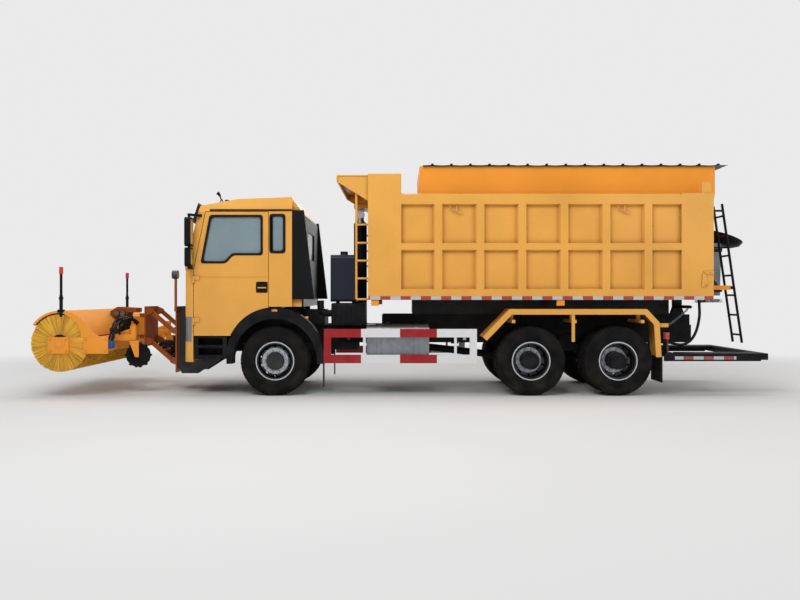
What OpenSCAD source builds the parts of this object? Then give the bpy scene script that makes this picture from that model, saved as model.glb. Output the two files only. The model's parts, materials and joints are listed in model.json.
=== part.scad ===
/* [Layout] */
// Front axle to the first rear axle
wheelbase = 3975; // [3800:5:4300]
// First rear axle to the second
tandem_gap = 1350; // [1300:5:1450]
// Half of the vehicle's width over the cab and bed
half_width = 1240; // [1220:1:1250]

/* [Wheels] */
// Radius over the tread
tyre_r = 540; // [510:1:560]
// Width of a tyre
tyre_w = 300; // [270:1:310]
// Radius of the bead seat
bead_r = 286; // [270:1:300]
// Front wheel, middle to the centre line
front_track_y = 1075; // [1050:1:1085]
// Outer twin wheel, middle to the centre line
twin_outer_y = 1090; // [1070:1:1095]
// Outer twin wheel to the inner one
twin_gap = 335; // [325:1:350]
// Radius of the bolt circle
stud_circle_r = 168; // [150:1:180]
// Wheel bolts on each hub
stud_count = 10; // [8:1:10]
// Bore of a hub
hub_bore_r = 60; // [50:1:70]
// Radius of a hub
hub_r = 130; // [110:1:140]

/* [Axles] */
// Kingpin to the centre line
kingpin_y = 880; // [860:1:900]
// Radius of a kingpin
kingpin_r = 25; // [20:1:30]
// Clearance round a pin or a shaft
pin_fit = 0.5; // [0.3:0.1:1]
// Radius of a rear axle's tube
axle_tube_r = 85; // [75:1:95]
// Radius of a differential
diff_r = 210; // [190:1:230]
// Width of a leaf spring
spring_w = 90; // [70:1:100]
// Thickness of one leaf
leaf_t = 22; // [16:1:26]

/* [Chassis] */
// Underside of the chassis rails
rail_z = 790; // [760:1:820]
// Height of a rail
rail_h = 290; // [250:1:300]
// Width of a rail's flange
rail_flange = 80; // [70:1:90]
// Thickness of the rail's steel
rail_t = 10; // [8:1:14]
// Half of the width over both rails
rail_y = 425; // [410:1:430]
// Front end of the rails, ahead of the front axle
rail_front = 1235; // [1200:1:1240]
// Rear end of the rails, behind the front axle
rail_rear = 6700; // [6600:1:6720]

/* [Cab] */
// Underside of the cab's floor
cab_floor_z = 1385; // [1385:1:1400]
// Thickness of the cab's walls and floor
cab_wall = 60; // [40:1:70]
// Foot of the windscreen, ahead of the front axle
screen_foot_x = 1390; // [1380:1:1395]
// Height of the windscreen's foot
screen_foot_z = 1960; // [1930:1:1980]
// Lean of the windscreen, back for each unit up
screen_lean = 0.238; // [0.2:0.002:0.26]
// Front edge of the roof
roof_front_z = 2950; // [2930:1:2960]
// Highest line of the roof
roof_top_z = 3094; // [3080:1:3110]
// Rear end of the full-width cab sides, behind the front axle
cab_side_end = 269; // [250:1:290]
// Rear wall of the cab, behind the front axle
cab_rear = 440; // [420:1:460]
// Front face of the cab below the windscreen
cab_front_x = 1400; // [1396:1:1410]
// Underside of the bumper
bumper_z = 530; // [520:1:560]
// Top of the bumper
bumper_top_z = 1000; // [960:1:1020]
// Thickness of window glass
glass_t = 12; // [6:1:16]
// Gap round a pane, and between pieces that lie against each other
seat_gap = 0.3; // [0.2:0.1:0.6]

/* [Doors] */
// Front edge of the doors below the windows
door_front_x = 1250; // [1240:1:1255]
// Rear edge of the doors
door_rear_x = 99; // [80:1:120]
// Lower edge of the doors
door_z = 935; // [920:1:950]
// Upper edge of the doors
door_top_z = 2850; // [2830:1:2860]
// Front edge of the doors at their top
door_top_x = 1065; // [1050:1:1075]
// Thickness of a door
door_t = 80; // [60:1:90]
// Gap round a door
door_gap = 8; // [6:1:12]

/* [Arches] */
// Radius of the front arch's opening
arch_r = 655; // [650:1:665]
// Radius of the front arch's outer edge
arch_outer_r = 745; // [735:1:755]
// Height of the centre of that edge
arch_outer_z = 625; // [615:1:630]
// Depth of the front arches across the vehicle
arch_depth = 250; // [220:1:270]

/* [Bed] */
// Front wall of the bed, behind the front axle
bed_front = 1444; // [1430:1:1460]
// Rear end of the bed's sides, behind the front axle
bed_rear = 6791; // [6770:1:6800]
// Underside of the bed
bed_z = 1490; // [1480:1:1500]
// Top of the bed's side rails
bed_top_z = 3144; // [3120:1:3160]
// Top of the front posts
bed_post_z = 3440; // [3420:1:3460]
// Inner face of the bed's side plates
bed_inner_y = 1150; // [1140:1:1160]
// Thickness of the side plates
bed_plate = 30; // [20:1:40]
// Width of an upright rib
rib_w = 185; // [160:1:200]
// First rib, behind the bed's front wall
rib_first = 1089; // [1050:1:1120]
// Rib to rib
rib_step = 650; // [630:1:655]
// Upright ribs on each side
rib_count = 6; // [5:1:6]
// Width of the recess for the hoist
recess_w = 560; // [520:1:640]
// Depth of the recess for the hoist
recess_d = 540; // [520:1:600]

/* [Bed hinge] */
// Hinge pin, behind the front axle
hinge_back = 6500; // [6480:1:6520]
// Height of the hinge pin
hinge_z = 1385; // [1375:1:1390]
// Radius of the hinge pin
hinge_pin_r = 40; // [30:1:45]

/* [Hoist] */
// Foot of the hoist, behind the front axle
hoist_back = 1270; // [1260:1:1280]
// Height of the hoist's foot
hoist_foot_z = 1200; // [1190:1:1220]
// Height of the hoist's eye
hoist_eye_z = 2930; // [2910:1:2950]
// Outer radius of the hoist's barrel
barrel_r = 110; // [100:1:116]
// Step from each tube's radius to the next
stage_step = 20; // [18:1:22]
// Gap between one tube and the next
stage_fit = 1; // [0.5:0.1:2]

/* [Hopper] */
// Front wall of the hopper, behind the front axle
hopper_front = 2250; // [2230:1:2280]
// Rear wall of the hopper, behind the front axle
hopper_rear = 6920; // [6900:1:6940]
// Top of the hopper
hopper_top_z = 3600; // [3580:1:3620]
// Half of the hopper's width
hopper_y = 950; // [930:1:980]
// Height where the hopper's sides start to close
hopper_knee_z = 3180; // [3150:1:3200]
// Half of the width of the hopper's floor
hopper_floor_y = 330; // [300:1:360]
// Height of the hopper's floor
hopper_floor_z = 1720; // [1700:1:1740]
// Thickness of the hopper's steel
hopper_t = 25; // [16:1:32]
// Thickness of the cover
cover_t = 14; // [10:1:20]
// Radius of the rods across the cover
cover_rod_r = 13; // [10:1:16]
// Rods across the cover
cover_rod_count = 16; // [12:1:20]

/* [Spreader] */
// Spinner's shaft, behind the front axle
spinner_back = 7240; // [7220:1:7260]
// Spinner's shaft, from the centre line towards the right
spinner_right = 200; // [180:1:220]
// Underside of the spinner's disc
spinner_z = 1440; // [1430:1:1460]
// Radius of the spinner's disc
spinner_r = 240; // [200:1:250]
// Vanes on the spinner
vane_count = 6; // [4:1:8]
// Radius of the spinner's shaft
spinner_shaft_r = 22; // [16:1:26]

/* [Rear ladder] */
// Middle of the rear ladder, from the centre line towards the left
ladder_y = 560; // [500:1:600]
// Rail to rail
ladder_w = 370; // [340:1:400]
// Height of the ladder's foot
ladder_foot_z = 800; // [790:1:830]
// Ladder's foot, behind the front axle
ladder_foot_back = 7430; // [7400:1:7440]
// Height of the ladder's top
ladder_top_z = 3030; // [3000:1:3060]
// Ladder's top, behind the front axle
ladder_top_back = 7110; // [7090:1:7130]
// Rungs on the rear ladder
rung_count = 7; // [6:1:8]

/* [Guards] */
// Front end of the side guards, behind the front axle
guard_front = 764; // [760:1:780]
// Rear end of the side guards, behind the front axle
guard_rear = 3131; // [3100:1:3140]
// Underside of the side guards
guard_z = 510; // [500:1:530]
// Height of the side guards
guard_h = 530; // [500:1:540]
// Height of a guard's bar
guard_bar_h = 130; // [110:1:140]
// Thickness of a guard's bar
guard_t = 40; // [30:1:50]
// Rear face of the underrun bar, behind the front axle
underrun_rear = 7645; // [7630:1:7660]
// Underside of the underrun guard
underrun_z = 540; // [530:1:560]
// Height of the underrun guard
underrun_h = 120; // [100:1:130]

/* [Broom] */
// Brush shaft, ahead of the front axle
brush_x = 3200; // [3180:1:3220]
// Height of the brush shaft
brush_z = 838; // [835:1:850]
// Radius over the bristles
brush_r = 438; // [420:1:440]
// Length of the brush
brush_len = 3000; // [2900:10:3000]
// Bristle rings along the brush
ring_count = 30; // [20:1:34]
// Radius of the brush's shaft
brush_shaft_r = 35; // [30:1:40]
// Inner radius of the hood
hood_r = 478; // [470:1:485]
// Thickness of the hood
hood_t = 12; // [8:1:14]
// Front edge of the hood, above level
hood_front_deg = 35; // [30:1:40]
// Rear edge of the hood, above level
hood_rear_deg = 167; // [160:1:168]
// Thickness of a side arm
arm_t = 40; // [30:1:50]
// Gap from the brush to the side arms
arm_gap = 20; // [15:1:25]

/* [Hitch] */
// Link pins on the hitch, ahead of the front axle
link_x = 1820; // [1810:1:1830]
// Height of the lower link's pin on the hitch
link_z = 480; // [470:1:490]
// Upper pins above the lower pins
link_rise = 500; // [480:1:510]
// Reach of a link, ahead
link_reach = 370; // [360:1:380]
// Reach of a link, up
link_up = 320; // [310:1:330]
// Links, from the centre line
link_y = 300; // [280:1:320]
// Width of a link
link_w = 50; // [40:1:60]
// Half of a link's height
link_r = 45; // [40:1:50]
// Radius of a link's pin
link_pin_r = 20; // [16:1:22]
// Swing pin, ahead of the links' front pins
swing_ahead = 185; // [180:1:200]
// Radius of the swing pin
swing_pin_r = 40; // [30:1:44]

/* [Casters] */
// Caster's stem, from the centre line
caster_y = 1000; // [980:1:1010]
// Caster's stem, ahead of the front axle
caster_x = 2260; // [2250:1:2270]
// Wheel behind its stem
caster_trail = 80; // [70:1:90]
// Height of the caster's wheel
caster_z = 622; // [620:1:640]
// Radius over the caster's lugs
caster_r = 200; // [190:1:204]
// Width of the caster's wheel
caster_w = 110; // [90:1:120]
// Lugs round a caster's wheel
caster_lugs = 14; // [12:1:16]
// Radius of a caster's stem
caster_stem_r = 22; // [18:1:25]

/* [Chain] */
// Inner length of a link
chain_pitch = 36; // [36:1:40]
// Thickness of a link
chain_wire = 9; // [8:1:9]
// Sag of the chain in the middle
chain_sag = 10; // [5:1:14]

/* [Hidden] */
$fn = 48;
// Front axle, ahead of the middle of the whole length
front_axle_x = (underrun_rear - brush_x - brush_r) / 2;
rear_1_x = -wheelbase;
rear_2_x = -wheelbase - tandem_gap;
axle_z = tyre_r;
carriage_x = link_x + link_reach;
carriage_z = link_z + link_up;
swing_x = carriage_x + swing_ahead;

// Helpers

module mirror_left(side) {
  if (side > 0) children();
  else mirror([0, 1, 0]) children();
}

module both_sides() {
  children();
  mirror([0, 1, 0]) children();
}

// A plate with its outline in x and z, t thick about y
module plate_xz(points, y, t) {
  translate([0, y + t / 2, 0]) rotate([90, 0, 0]) linear_extrude(t) polygon(points);
}

// A plate with its outline in y and z, t thick about x
module plate_yz(points, x, t) {
  translate([x - t / 2, 0, 0]) rotate([90, 0, 90]) linear_extrude(t) polygon(points);
}

// The outline drawn by the children, in x and z, t thick about y
module slab_xz(y, t) {
  translate([0, y + t / 2, 0]) rotate([90, 0, 0]) linear_extrude(t) children();
}

// A block between two corners
module block(low, high) {
  translate(low) cube(high - low);
}

// A round bar from one point to another
module rod(from, to, r) {
  d = to - from;
  translate(from) rotate([0, acos(d.z / norm(d)), atan2(d.y, d.x)]) cylinder(r = r, h = norm(d));
}

// A round bar along y about the point x, z
module pin_y(x, z, y0, y1, r) {
  translate([x, y1, z]) rotate([90, 0, 0]) cylinder(r = r, h = y1 - y0);
}

module place() {
  translate([front_axle_x, 0, 0]) children();
}

// Wheels

tyre_y = tyre_w / 2;
rim_in_r = bead_r - 24;

// Section of a tyre: radius, and place across the tread
function tyre_points() = [
  [bead_r, -tyre_y + 40], [bead_r + 16, -tyre_y + 40], [bead_r + 60, -tyre_y + 8], [bead_r + 130,
    -tyre_y],
  [tyre_r - 70, -tyre_y + 8], [tyre_r - 14, -tyre_y + 22], [tyre_r, -tyre_y + 46],
  [tyre_r, tyre_y - 46], [tyre_r - 14, tyre_y - 22], [tyre_r - 70, tyre_y - 8],
  [bead_r + 130, tyre_y], [bead_r + 60, tyre_y - 8], [bead_r + 16, tyre_y - 40], [bead_r, tyre_y - 40]
];

module tyre(y) {
  translate([0, y, 0]) rotate([-90, 0, 0]) rotate_extrude() polygon(tyre_points());
}

// Barrel of a rim, its lips at the beads, with the disc's middle at disc_y and its rise towards the hub
module rim(y, disc_y, rise) {
  lip = tyre_y - 30;
  seat = bead_r - seat_gap;
  translate([0, y, 0]) rotate([-90, 0, 0]) difference() {
    rotate_extrude() union() {
      polygon([[rim_in_r, -lip], [seat + 14, -lip], [seat + 14, -tyre_y + 39], [seat, -tyre_y + 39],
        [seat, tyre_y - 39], [seat + 14, tyre_y - 39], [seat + 14, lip], [rim_in_r, lip]]);
      polygon([[hub_bore_r, disc_y + rise], [stud_circle_r + 34, disc_y + rise], [rim_in_r + 2,
        disc_y],
        [rim_in_r + 2, disc_y - 14], [stud_circle_r + 34, disc_y + rise - 14],
        [hub_bore_r, disc_y + rise - 14]]);
    }
    hand_hole_r = 20;
    for (i = [0 : stud_count - 1])
      rotate(360 / stud_count * (i + 0.5)) translate([stud_circle_r + 62, 0, disc_y - 80])
        cylinder(r = hand_hole_r, h = 200);
  }
}

// Studs and the hub's cap, ahead of the disc's face at y
module hub(y, from, to) {
  translate([0, y, 0]) rotate([-90, 0, 0]) {
    difference() {
      translate([0, 0, from]) cylinder(r = hub_r, h = to - from);
      translate([0, 0, from - 1]) cylinder(r = hub_bore_r, h = to - from - 30);
    }
  }
}

module studs(y, face) {
  translate([0, y, 0]) rotate([-90, 0, 0])
    for (i = [0 : stud_count - 1])
      rotate(360 / stud_count * i) translate([stud_circle_r, 0, face - 2]) cylinder(r = 16, h = 34,
        $fn = 6);
}

front_disc_y = 20;
front_rise = 70;
rear_disc_y = -100;
rear_rise = -60;

module front_rim(side) {
  color("silver") mirror_left(side) translate([0, front_track_y, axle_z]) {
    rim(0, front_disc_y, front_rise);
    hub(0, -60, front_disc_y + front_rise + 55);
    studs(0, front_disc_y + front_rise);
  }
}

module front_tyre(side) {
  color("dimgray") mirror_left(side) translate([0, front_track_y, axle_z]) tyre(0);
}

module rear_tyres(x, side) {
  color("dimgray") mirror_left(side) translate([x, twin_outer_y, axle_z]) {
    tyre(0);
    tyre(-twin_gap);
  }
}

module rear_rims(x, side) {
  color("silver") mirror_left(side) translate([x, twin_outer_y, axle_z]) {
    rim(0, rear_disc_y, rear_rise);
    mirror([0, 1, 0]) rim(twin_gap, rear_disc_y, rear_rise);
    hub(0, -tyre_w - 40, 70);
    studs(0, rear_disc_y + rear_rise);
  }
}

// Axles

spindle_r = hub_bore_r - pin_fit;
boss_h = 120;
boss_r = 55;
knuckle_gap = 4;

beam_h = 110;
beam_w = 90;
drop = 60;

// Front axle's beam: level beside the forks, then lower in the middle
function beam_points() = [
  [-kingpin_y, axle_z - 50], [-kingpin_y + 90, axle_z - 50],
  [-kingpin_y + 250, axle_z - beam_h / 2 - drop], [kingpin_y - 250, axle_z - beam_h / 2 - drop],
  [kingpin_y - 90, axle_z - 50], [kingpin_y, axle_z - 50],
  [kingpin_y, axle_z + 50], [kingpin_y - 250, axle_z + beam_h / 2 - drop],
  [-kingpin_y + 250, axle_z + beam_h / 2 - drop], [-kingpin_y, axle_z + 50]
];

module front_axle() {
  spring_y = rail_y - rail_flange / 2;
  color("dimgray") {
    difference() {
      union() {
        translate([0, 0, axle_z]) both_sides() translate([0, kingpin_y, -boss_h / 2])
          cylinder(r = boss_r, h = boss_h);
        plate_yz(beam_points(), 0, beam_w);
        both_sides() leaf_spring(0, spring_y, axle_z + beam_h / 2 - drop - 5, 820, 4, 95);
        both_sides() block([-60, spring_y - 50, axle_z - drop], [60, spring_y + 50, axle_z + 60]);
      }
      both_sides() translate([0, kingpin_y, 0]) cylinder(r = kingpin_r + pin_fit, h = axle_z * 2);
    }
    both_sides() for (x = [-800, 800])
      block([x - 35, spring_y - 38, axle_z + beam_h + 40], [x + 35, spring_y + 38,
        rail_z - seat_gap]);
  }
}

// A stack of arched leaves about x, its lowest point at z, half as long as reach twice over
module leaf_spring(x, y, z, reach, leaves, camber) {
  bend_r = (reach * reach + camber * camber) / (2 * camber);
  for (i = [0 : leaves - 1])
    slab_xz(y, spring_w) translate([x, z + leaf_t * (leaves - 1 - i)]) intersection() {
      translate([0, bend_r]) difference() {
        circle(r = bend_r, $fn = 96);
        circle(r = bend_r - leaf_t - 1, $fn = 96);
      }
      half = reach * (1 - 0.2 * i);
      translate([-half, -1]) square([2 * half, camber + 4 * leaf_t]);
    }
}

module knuckle(side) {
  fork_t = 45;
  fork_r = 60;
  low = axle_z - boss_h / 2 - knuckle_gap - fork_t;
  high = axle_z + boss_h / 2 + knuckle_gap;
  web_y = kingpin_y + boss_r + 15;
  plate_r = 190;
  color("dimgray") mirror_left(side) {
    translate([0, kingpin_y, low]) cylinder(r = kingpin_r, h = high + fork_t - low);
    for (z = [low, high]) {
      translate([0, kingpin_y, z]) cylinder(r = fork_r, h = fork_t);
      block([-50, kingpin_y, z], [50, web_y + 30, z + fork_t]);
    }
    block([-50, web_y, low], [50, web_y + 30, high + fork_t]);
    pin_y(0, axle_z, web_y + 20, front_track_y + 60, spindle_r);
    pin_y(0, axle_z, web_y + 10, web_y + 26, plate_r);
  }
}

module rear_axles() {
  spring_y = rail_y + spring_w / 2 + 20;
  bogie_x = (rear_1_x + rear_2_x) / 2;
  top = axle_z + axle_tube_r;
  color("dimgray") {
    for (x = [rear_1_x, rear_2_x]) {
      pin_y(x, axle_z, -twin_outer_y + 40, twin_outer_y - 40, hub_bore_r - pin_fit);
      pin_y(x, axle_z, -twin_outer_y + tyre_w + 110, twin_outer_y - tyre_w - 110, axle_tube_r);
      translate([x, 0, axle_z]) sphere(r = diff_r);
      translate([x, 0, axle_z]) rotate([0, 90, 0]) cylinder(r = 110, h = diff_r + 120);
      both_sides() block([x - 70, spring_y - 45, axle_z], [x + 70, spring_y + 45, top + 30]);
    }
    both_sides() {
      for (i = [0 : 4])
        block([bogie_x - 760 + 120 * i, spring_y - spring_w / 2, top + 30 + leaf_t * i],
          [bogie_x + 760 - 120 * i, spring_y + spring_w / 2, top + 30 + leaf_t * (i + 1) + 0.5]);
      block([bogie_x - 110, spring_y - 40, top + 30 + leaf_t * 5], [bogie_x + 110, spring_y + 40,
        rail_z + 120]);
      block([bogie_x - 110, rail_y + seat_gap, rail_z + 20], [bogie_x + 110, spring_y + 40,
        rail_z + 120]);
    }
    rod([rear_1_x + diff_r + 60, 0, axle_z], [-1330, 0, 820], 60);
    rod([rear_2_x + diff_r + 60, 0, axle_z], [rear_1_x - diff_r + 20, 0, axle_z], 55);
  }
}

// Chassis

// One rail, a channel open towards the centre line
function channel_points() = [
  [rail_y, rail_z], [rail_y, rail_z + rail_h], [rail_y - rail_flange, rail_z + rail_h],
  [rail_y - rail_flange, rail_z + rail_h - rail_t], [rail_y - rail_t, rail_z + rail_h - rail_t],
  [rail_y - rail_t, rail_z + rail_t], [rail_y - rail_flange, rail_z + rail_t], [rail_y - rail_flange,
    rail_z]
];

// Cross members: distance behind the front axle, height of the middle, radius
cross_members = [[-1130, 935, 60], [1500, 935, 60], [2700, 935, 60], [4650, 935, 70], [5900, 935, 60],
  [6620, 935, 75]];
subframe_h = 170;
rail_top_z = rail_z + rail_h;
hinge_cheek_y = rail_y - 30;
hinge_cheek_t = 24;
hinge_lug_t = 60;
tow_pin_r = 25;
// Jacking pads under the rails: ends along the vehicle and thickness
jack_pad_x = [-2900, -2780];
jack_pad_t = 20;

module chassis_frame() {
  color("dimgray") {
    difference() {
      union() {
        both_sides() plate_yz(channel_points(), (rail_front - rail_rear) / 2,
          rail_front + rail_rear);
        both_sides() block([-rail_rear, rail_y - rail_flange, rail_top_z - 1],
          [-bed_front - 200, rail_y, rail_top_z + subframe_h]);
        for (m = cross_members) pin_y(-m[0], m[1], -rail_y + 5, rail_y - 5, m[2]);
        block([-rail_rear - 25, -rail_y, rail_z], [-rail_rear + 2, rail_y, rail_top_z]);
        both_sides() block([jack_pad_x[0], rail_y - rail_flange, rail_z - jack_pad_t],
          [jack_pad_x[1], rail_y, rail_z + 1]);
        for (z = [rail_z + 55, rail_z + 195])
          block([-rail_rear - 150, -60, z], [-rail_rear, 60, z + 40]);
        both_sides() for (s = [-1, 1])
          plate_xz([[-hinge_back - 110, rail_top_z + subframe_h - 1], [-hinge_back + 110,
            rail_top_z + subframe_h - 1],
            [-hinge_back + 45, hinge_z + 45], [-hinge_back - 45, hinge_z + 45]],
            hinge_cheek_y + s * (hinge_lug_t / 2 + 2 + hinge_cheek_t / 2), hinge_cheek_t);
        both_sides() pin_y(-hinge_back, hinge_z, hinge_cheek_y - 58, hinge_cheek_y + 58,
          hinge_pin_r);
        hoist_cradle();
        both_sides() for (x = [-330, 1000])
          block([x - 45, rail_y - 70, rail_top_z - 1], [x + 45, rail_y, cab_floor_z - seat_gap]);
        both_sides() pin_y(chain_bar[0], chain_bar[1], rail_y + 20, half_width - 40, chain_bar_r);
        block([hose_end_x + seat_gap, rail_y - 5, 795], [hose_end_x + 50, hose_y + 35, 835]);
      }
      translate([-rail_rear - 100, 0, rail_z]) cylinder(r = tow_pin_r, h = rail_h);
    }
  }
}

hoist_pin_r = 35;
hoist_cheek_y = barrel_r + 40;

// Cheeks that carry the hoist's foot
module hoist_cradle() {
  both_sides() {
    plate_xz([[-hoist_back - 130, rail_top_z - 60], [-hoist_back + 130, rail_top_z - 60],
      [-hoist_back + 60, hoist_foot_z + 60], [-hoist_back - 60, hoist_foot_z + 60]], hoist_cheek_y,
        30);
    block([-hoist_back - 80, hoist_cheek_y - 15, rail_top_z - 60], [-hoist_back + 80, rail_y - 5,
      rail_top_z - 20]);
    pin_y(-hoist_back, hoist_foot_z, -1, hoist_cheek_y + 15, hoist_pin_r);
  }
}

// The gearbox ends under the hoist's cradle
gearbox_top_z = rail_top_z - 70;

module engine() {
  inner = rail_y - rail_flange - 8;
  color("gray") {
    block([-700, -inner, 640], [900, inner, 1330]);
    block([-1250, -190, 660], [-699, 190, gearbox_top_z]);
    for (x = [-560, 620]) both_sides()
      block([x - 60, inner - 1, 900], [x + 60, rail_y - rail_t - seat_gap, 960]);
  }
}

tank_y = 780;

module tanks() {
  color("silver") {
    tank_x0 = -2396;
    tank_x1 = -1416;
    rounded_bar_x(tank_x0, tank_x1, tank_y, 800, 660, 600, 110);
    for (x = [tank_x0 + 200, tank_x1 - 200]) {
      difference() {
        rounded_bar_x(x - 30, x + 30, tank_y, 800, 676, 616, 118);
        rounded_bar_x(x - 40, x + 40, tank_y, 800, 658, 598, 109);
      }
      block([x - 30, rail_y + seat_gap, 860], [x + 30, tank_y - 325, 1060]);
    }
    for (z = [640, 900]) {
      translate([-2300, -tank_y, z]) rotate([0, 90, 0]) cylinder(r = 120, h = 850);
      for (x = [-2150, -1650]) block([x - 25, -tank_y + 80, z - 40], [x + 25, -rail_y - seat_gap,
        z + 40]);
    }
    for (x = [-2150, -1650]) block([x - 25, -rail_y - 40, 600], [x + 25, -rail_y - seat_gap,
      rail_z + 180]);
  }
}

// A bar along x with a rounded section, w wide and h high about y, z
module rounded_bar_x(x0, x1, y, z, w, h, r) {
  translate([x0, y, z]) rotate([90, 0, 90]) linear_extrude(x1 - x0) union() {
    square([w - 2 * r, h], center = true);
    square([w, h - 2 * r], center = true);
    for (sy = [-1, 1], sz = [-1, 1]) translate([sy * (w / 2 - r), sz * (h / 2 - r)]) circle(r = r);
  }
}

guard_y = half_width - guard_t;
guard_posts = [1390, 2800];
// Upper and lower bar, then the broad end plates
module side_guards() {
  color("white") both_sides() {
    for (z = [guard_z, guard_z + guard_h - guard_bar_h])
      block([-guard_rear, guard_y, z], [-guard_front, half_width, z + guard_bar_h]);
    for (x = [-guard_rear, -guard_front - 110])
      block([x, guard_y, guard_z], [x + 110, half_width, guard_z + guard_h]);
    for (b = guard_posts) {
      block([-b - 20, guard_y + 2, guard_z], [-b + 20, half_width - 2, guard_z + guard_h]);
    }
    for (b = [1100, 3000]) {
      block([-b - 25, rail_y + seat_gap, guard_z + guard_h - 80], [-b + 25, guard_y + 1,
        guard_z + guard_h - 30]);
      block([-b - 25, rail_y + seat_gap, rail_z + 40], [-b + 25, rail_y + 40,
        guard_z + guard_h - 30]);
    }
  }
}

module underrun_guard() {
  front = 6040;
  bar = 110;
  hanger_x = -6300;
  color("dimgray") {
    both_sides() {
      block([-underrun_rear + bar, half_width - 60, underrun_z], [-front, half_width - 20,
        underrun_z + underrun_h]);
      block([hanger_x - 40, rail_y + seat_gap, underrun_z + 20], [hanger_x + 40, rail_y + 30,
        rail_z + 150]);
    }
    block([-underrun_rear, -half_width + 20, underrun_z + 20], [-underrun_rear + bar + 1,
      half_width - 20, underrun_z + underrun_h]);
    block([hanger_x - 40, -half_width + 30, underrun_z + 20], [hanger_x + 40, half_width - 30,
      underrun_z + 100]);
    both_sides() block([-underrun_rear + bar, half_width - 420, underrun_z + 90],
      [hanger_x, half_width - 50, underrun_z + underrun_h]);
  }
}

fender_w = 560;
fender_t = 12;
// Outline of the rear fender's strip: behind the front axle, height
fender_line = [[3222, 917], [3637, 1347], [5765, 1347], [5957, 1140], [5988, 607]];
fender_y = half_width - fender_w / 2;

// A band inside a chain of points, each segment a strip of width w
module band(line, w) {
  for (i = [0 : len(line) - 2]) {
    a = [-line[i][0], line[i][1]];
    b = [-line[i + 1][0], line[i + 1][1]];
    n = [a[1] - b[1], b[0] - a[0]] / norm(b - a) * w;
    polygon([a, b, b + n, a + n]);
  }
}

module rear_fenders() {
  lip = 85;
  stay_z = rail_top_z + 50;
  color("goldenrod") both_sides() {
    slab_xz(fender_y, fender_w) band(fender_line, fender_t);
    slab_xz(half_width - 10, 20) band(fender_line, lip);
    for (x = [-3700, -4650, -5700]) {
      block([x - 25, rail_y + seat_gap, stay_z], [x + 25, half_width - 11, stay_z + 50]);
      block([x - 25, fender_y - 40, stay_z + 20], [x + 25, fender_y + 40, 1340]);
    }
    block([chain_lug_x, chain_from.y - 15, chain_to.z - 40], [-5950, chain_from.y + 15,
      chain_to.z + 20]);
  }
}

module mud_flaps() {
  color("black") both_sides() {
    block([-6010, half_width - fender_w, 210], [-5988 - seat_gap, half_width - 20, 650]);
    block([-arch_outer_r - 9, half_width - arch_depth, 130], [-arch_outer_r - seat_gap,
      half_width - 20, 620]);
  }
}

// Cab

function screen_x(z) = screen_foot_x - (z - screen_foot_z) * screen_lean;

drip_z = 2896;
roof_side_in = 110;
rear_narrow = 80;
screen_low = screen_foot_z + 60;
screen_high = roof_front_z - 110;
screen_half = half_width - 130;

// Side outline of the cab's outside
function cab_outline() = [
  [-cab_rear, cab_floor_z], [door_front_x, cab_floor_z], [door_front_x, screen_foot_z],
  [screen_foot_x, screen_foot_z], [screen_x(roof_front_z), roof_front_z],
  [600, roof_front_z + 110], [-250, roof_top_z], [-cab_rear, 2820]
];

// Side outline of the cab's inside
function cab_inside() = [
  [-cab_rear + cab_wall, cab_floor_z + cab_wall], [door_front_x - 40, cab_floor_z + cab_wall],
  [door_front_x - 40, screen_foot_z + cab_wall], [screen_x(screen_foot_z) - 110,
    screen_foot_z + cab_wall],
  [screen_x(roof_front_z) - 110, roof_front_z - cab_wall], [600, roof_front_z + 100 - cab_wall],
  [-230, roof_top_z - cab_wall], [-cab_rear + cab_wall, 2790]
];

// Cross-section of the cab's outside, with the roof's edges taken off
function cab_section(w, top) = [
  [-w, cab_floor_z], [w, cab_floor_z], [w, drip_z - 40], [w - roof_side_in, top], [-w + roof_side_in,
    top],
  [-w, drip_z - 40]
];

// Outline of a door, grown all round by g
module door_outline(g) {
  difference() {
    polygon([[door_rear_x - g, door_z - g], [door_front_x + g, door_z - g], [door_front_x + g,
      screen_foot_z],
      [door_top_x + g, door_top_z + g], [door_rear_x - g, door_top_z + g]]);
    translate([0, arch_outer_z]) circle(r = arch_outer_r + door_gap - g, $fn = 96);
  }
}

// Outline of a door's window, grown all round by g
module door_window(g) {
  polygon([[1127 + g, 2070 - g], [760 - g, 2070 - g], [650 - g, 2195 - g], [196 - g, 2195 - g],
    [196 - g, 2790 + g], [991 + g, 2790 + g]]);
}

quarter_window = [[-150, 2230], [60, 2230], [60, 2800], [-150, 2800]];

module screen_prism(gap, half, depth) {
  plate_xz([[screen_x(screen_low) - depth, screen_low + gap], [screen_x(screen_low) + 40,
    screen_low + gap],
    [screen_x(screen_high) + 40, screen_high - gap], [screen_x(screen_high) - depth,
      screen_high - gap]],
    0, 2 * half - 2 * gap);
}

module cab_shell() {
  color("orange") difference() {
    intersection() {
      union() {
        intersection() {
          plate_xz(cab_outline(), 0, 2 * half_width);
          block([-cab_side_end, -half_width, 0], [screen_foot_x + 50, half_width, 4000]);
        }
        plate_xz(cab_outline(), 0, 2 * (half_width - rear_narrow));
      }
      plate_yz(cab_section(half_width, roof_top_z + 5), 400, 3000);
    }
    plate_xz(cab_inside(), 0, 2 * (half_width - rear_narrow - cab_wall));
    intersection() {
      plate_xz(cab_inside(), 0, 2 * (half_width - cab_wall));
      block([-cab_side_end + cab_wall, -half_width, 0], [screen_foot_x, half_width, drip_z - 50]);
    }
    both_sides() slab_xz(half_width, 2 * door_t + 2 * door_gap) door_outline(door_gap);
    screen_prism(0, screen_half, 300);
    both_sides() plate_xz(quarter_window, half_width, 300);
    block([-cab_rear - 50, -500, 2150], [-cab_rear + 200, 500, 2600]);
  }
}

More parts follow.
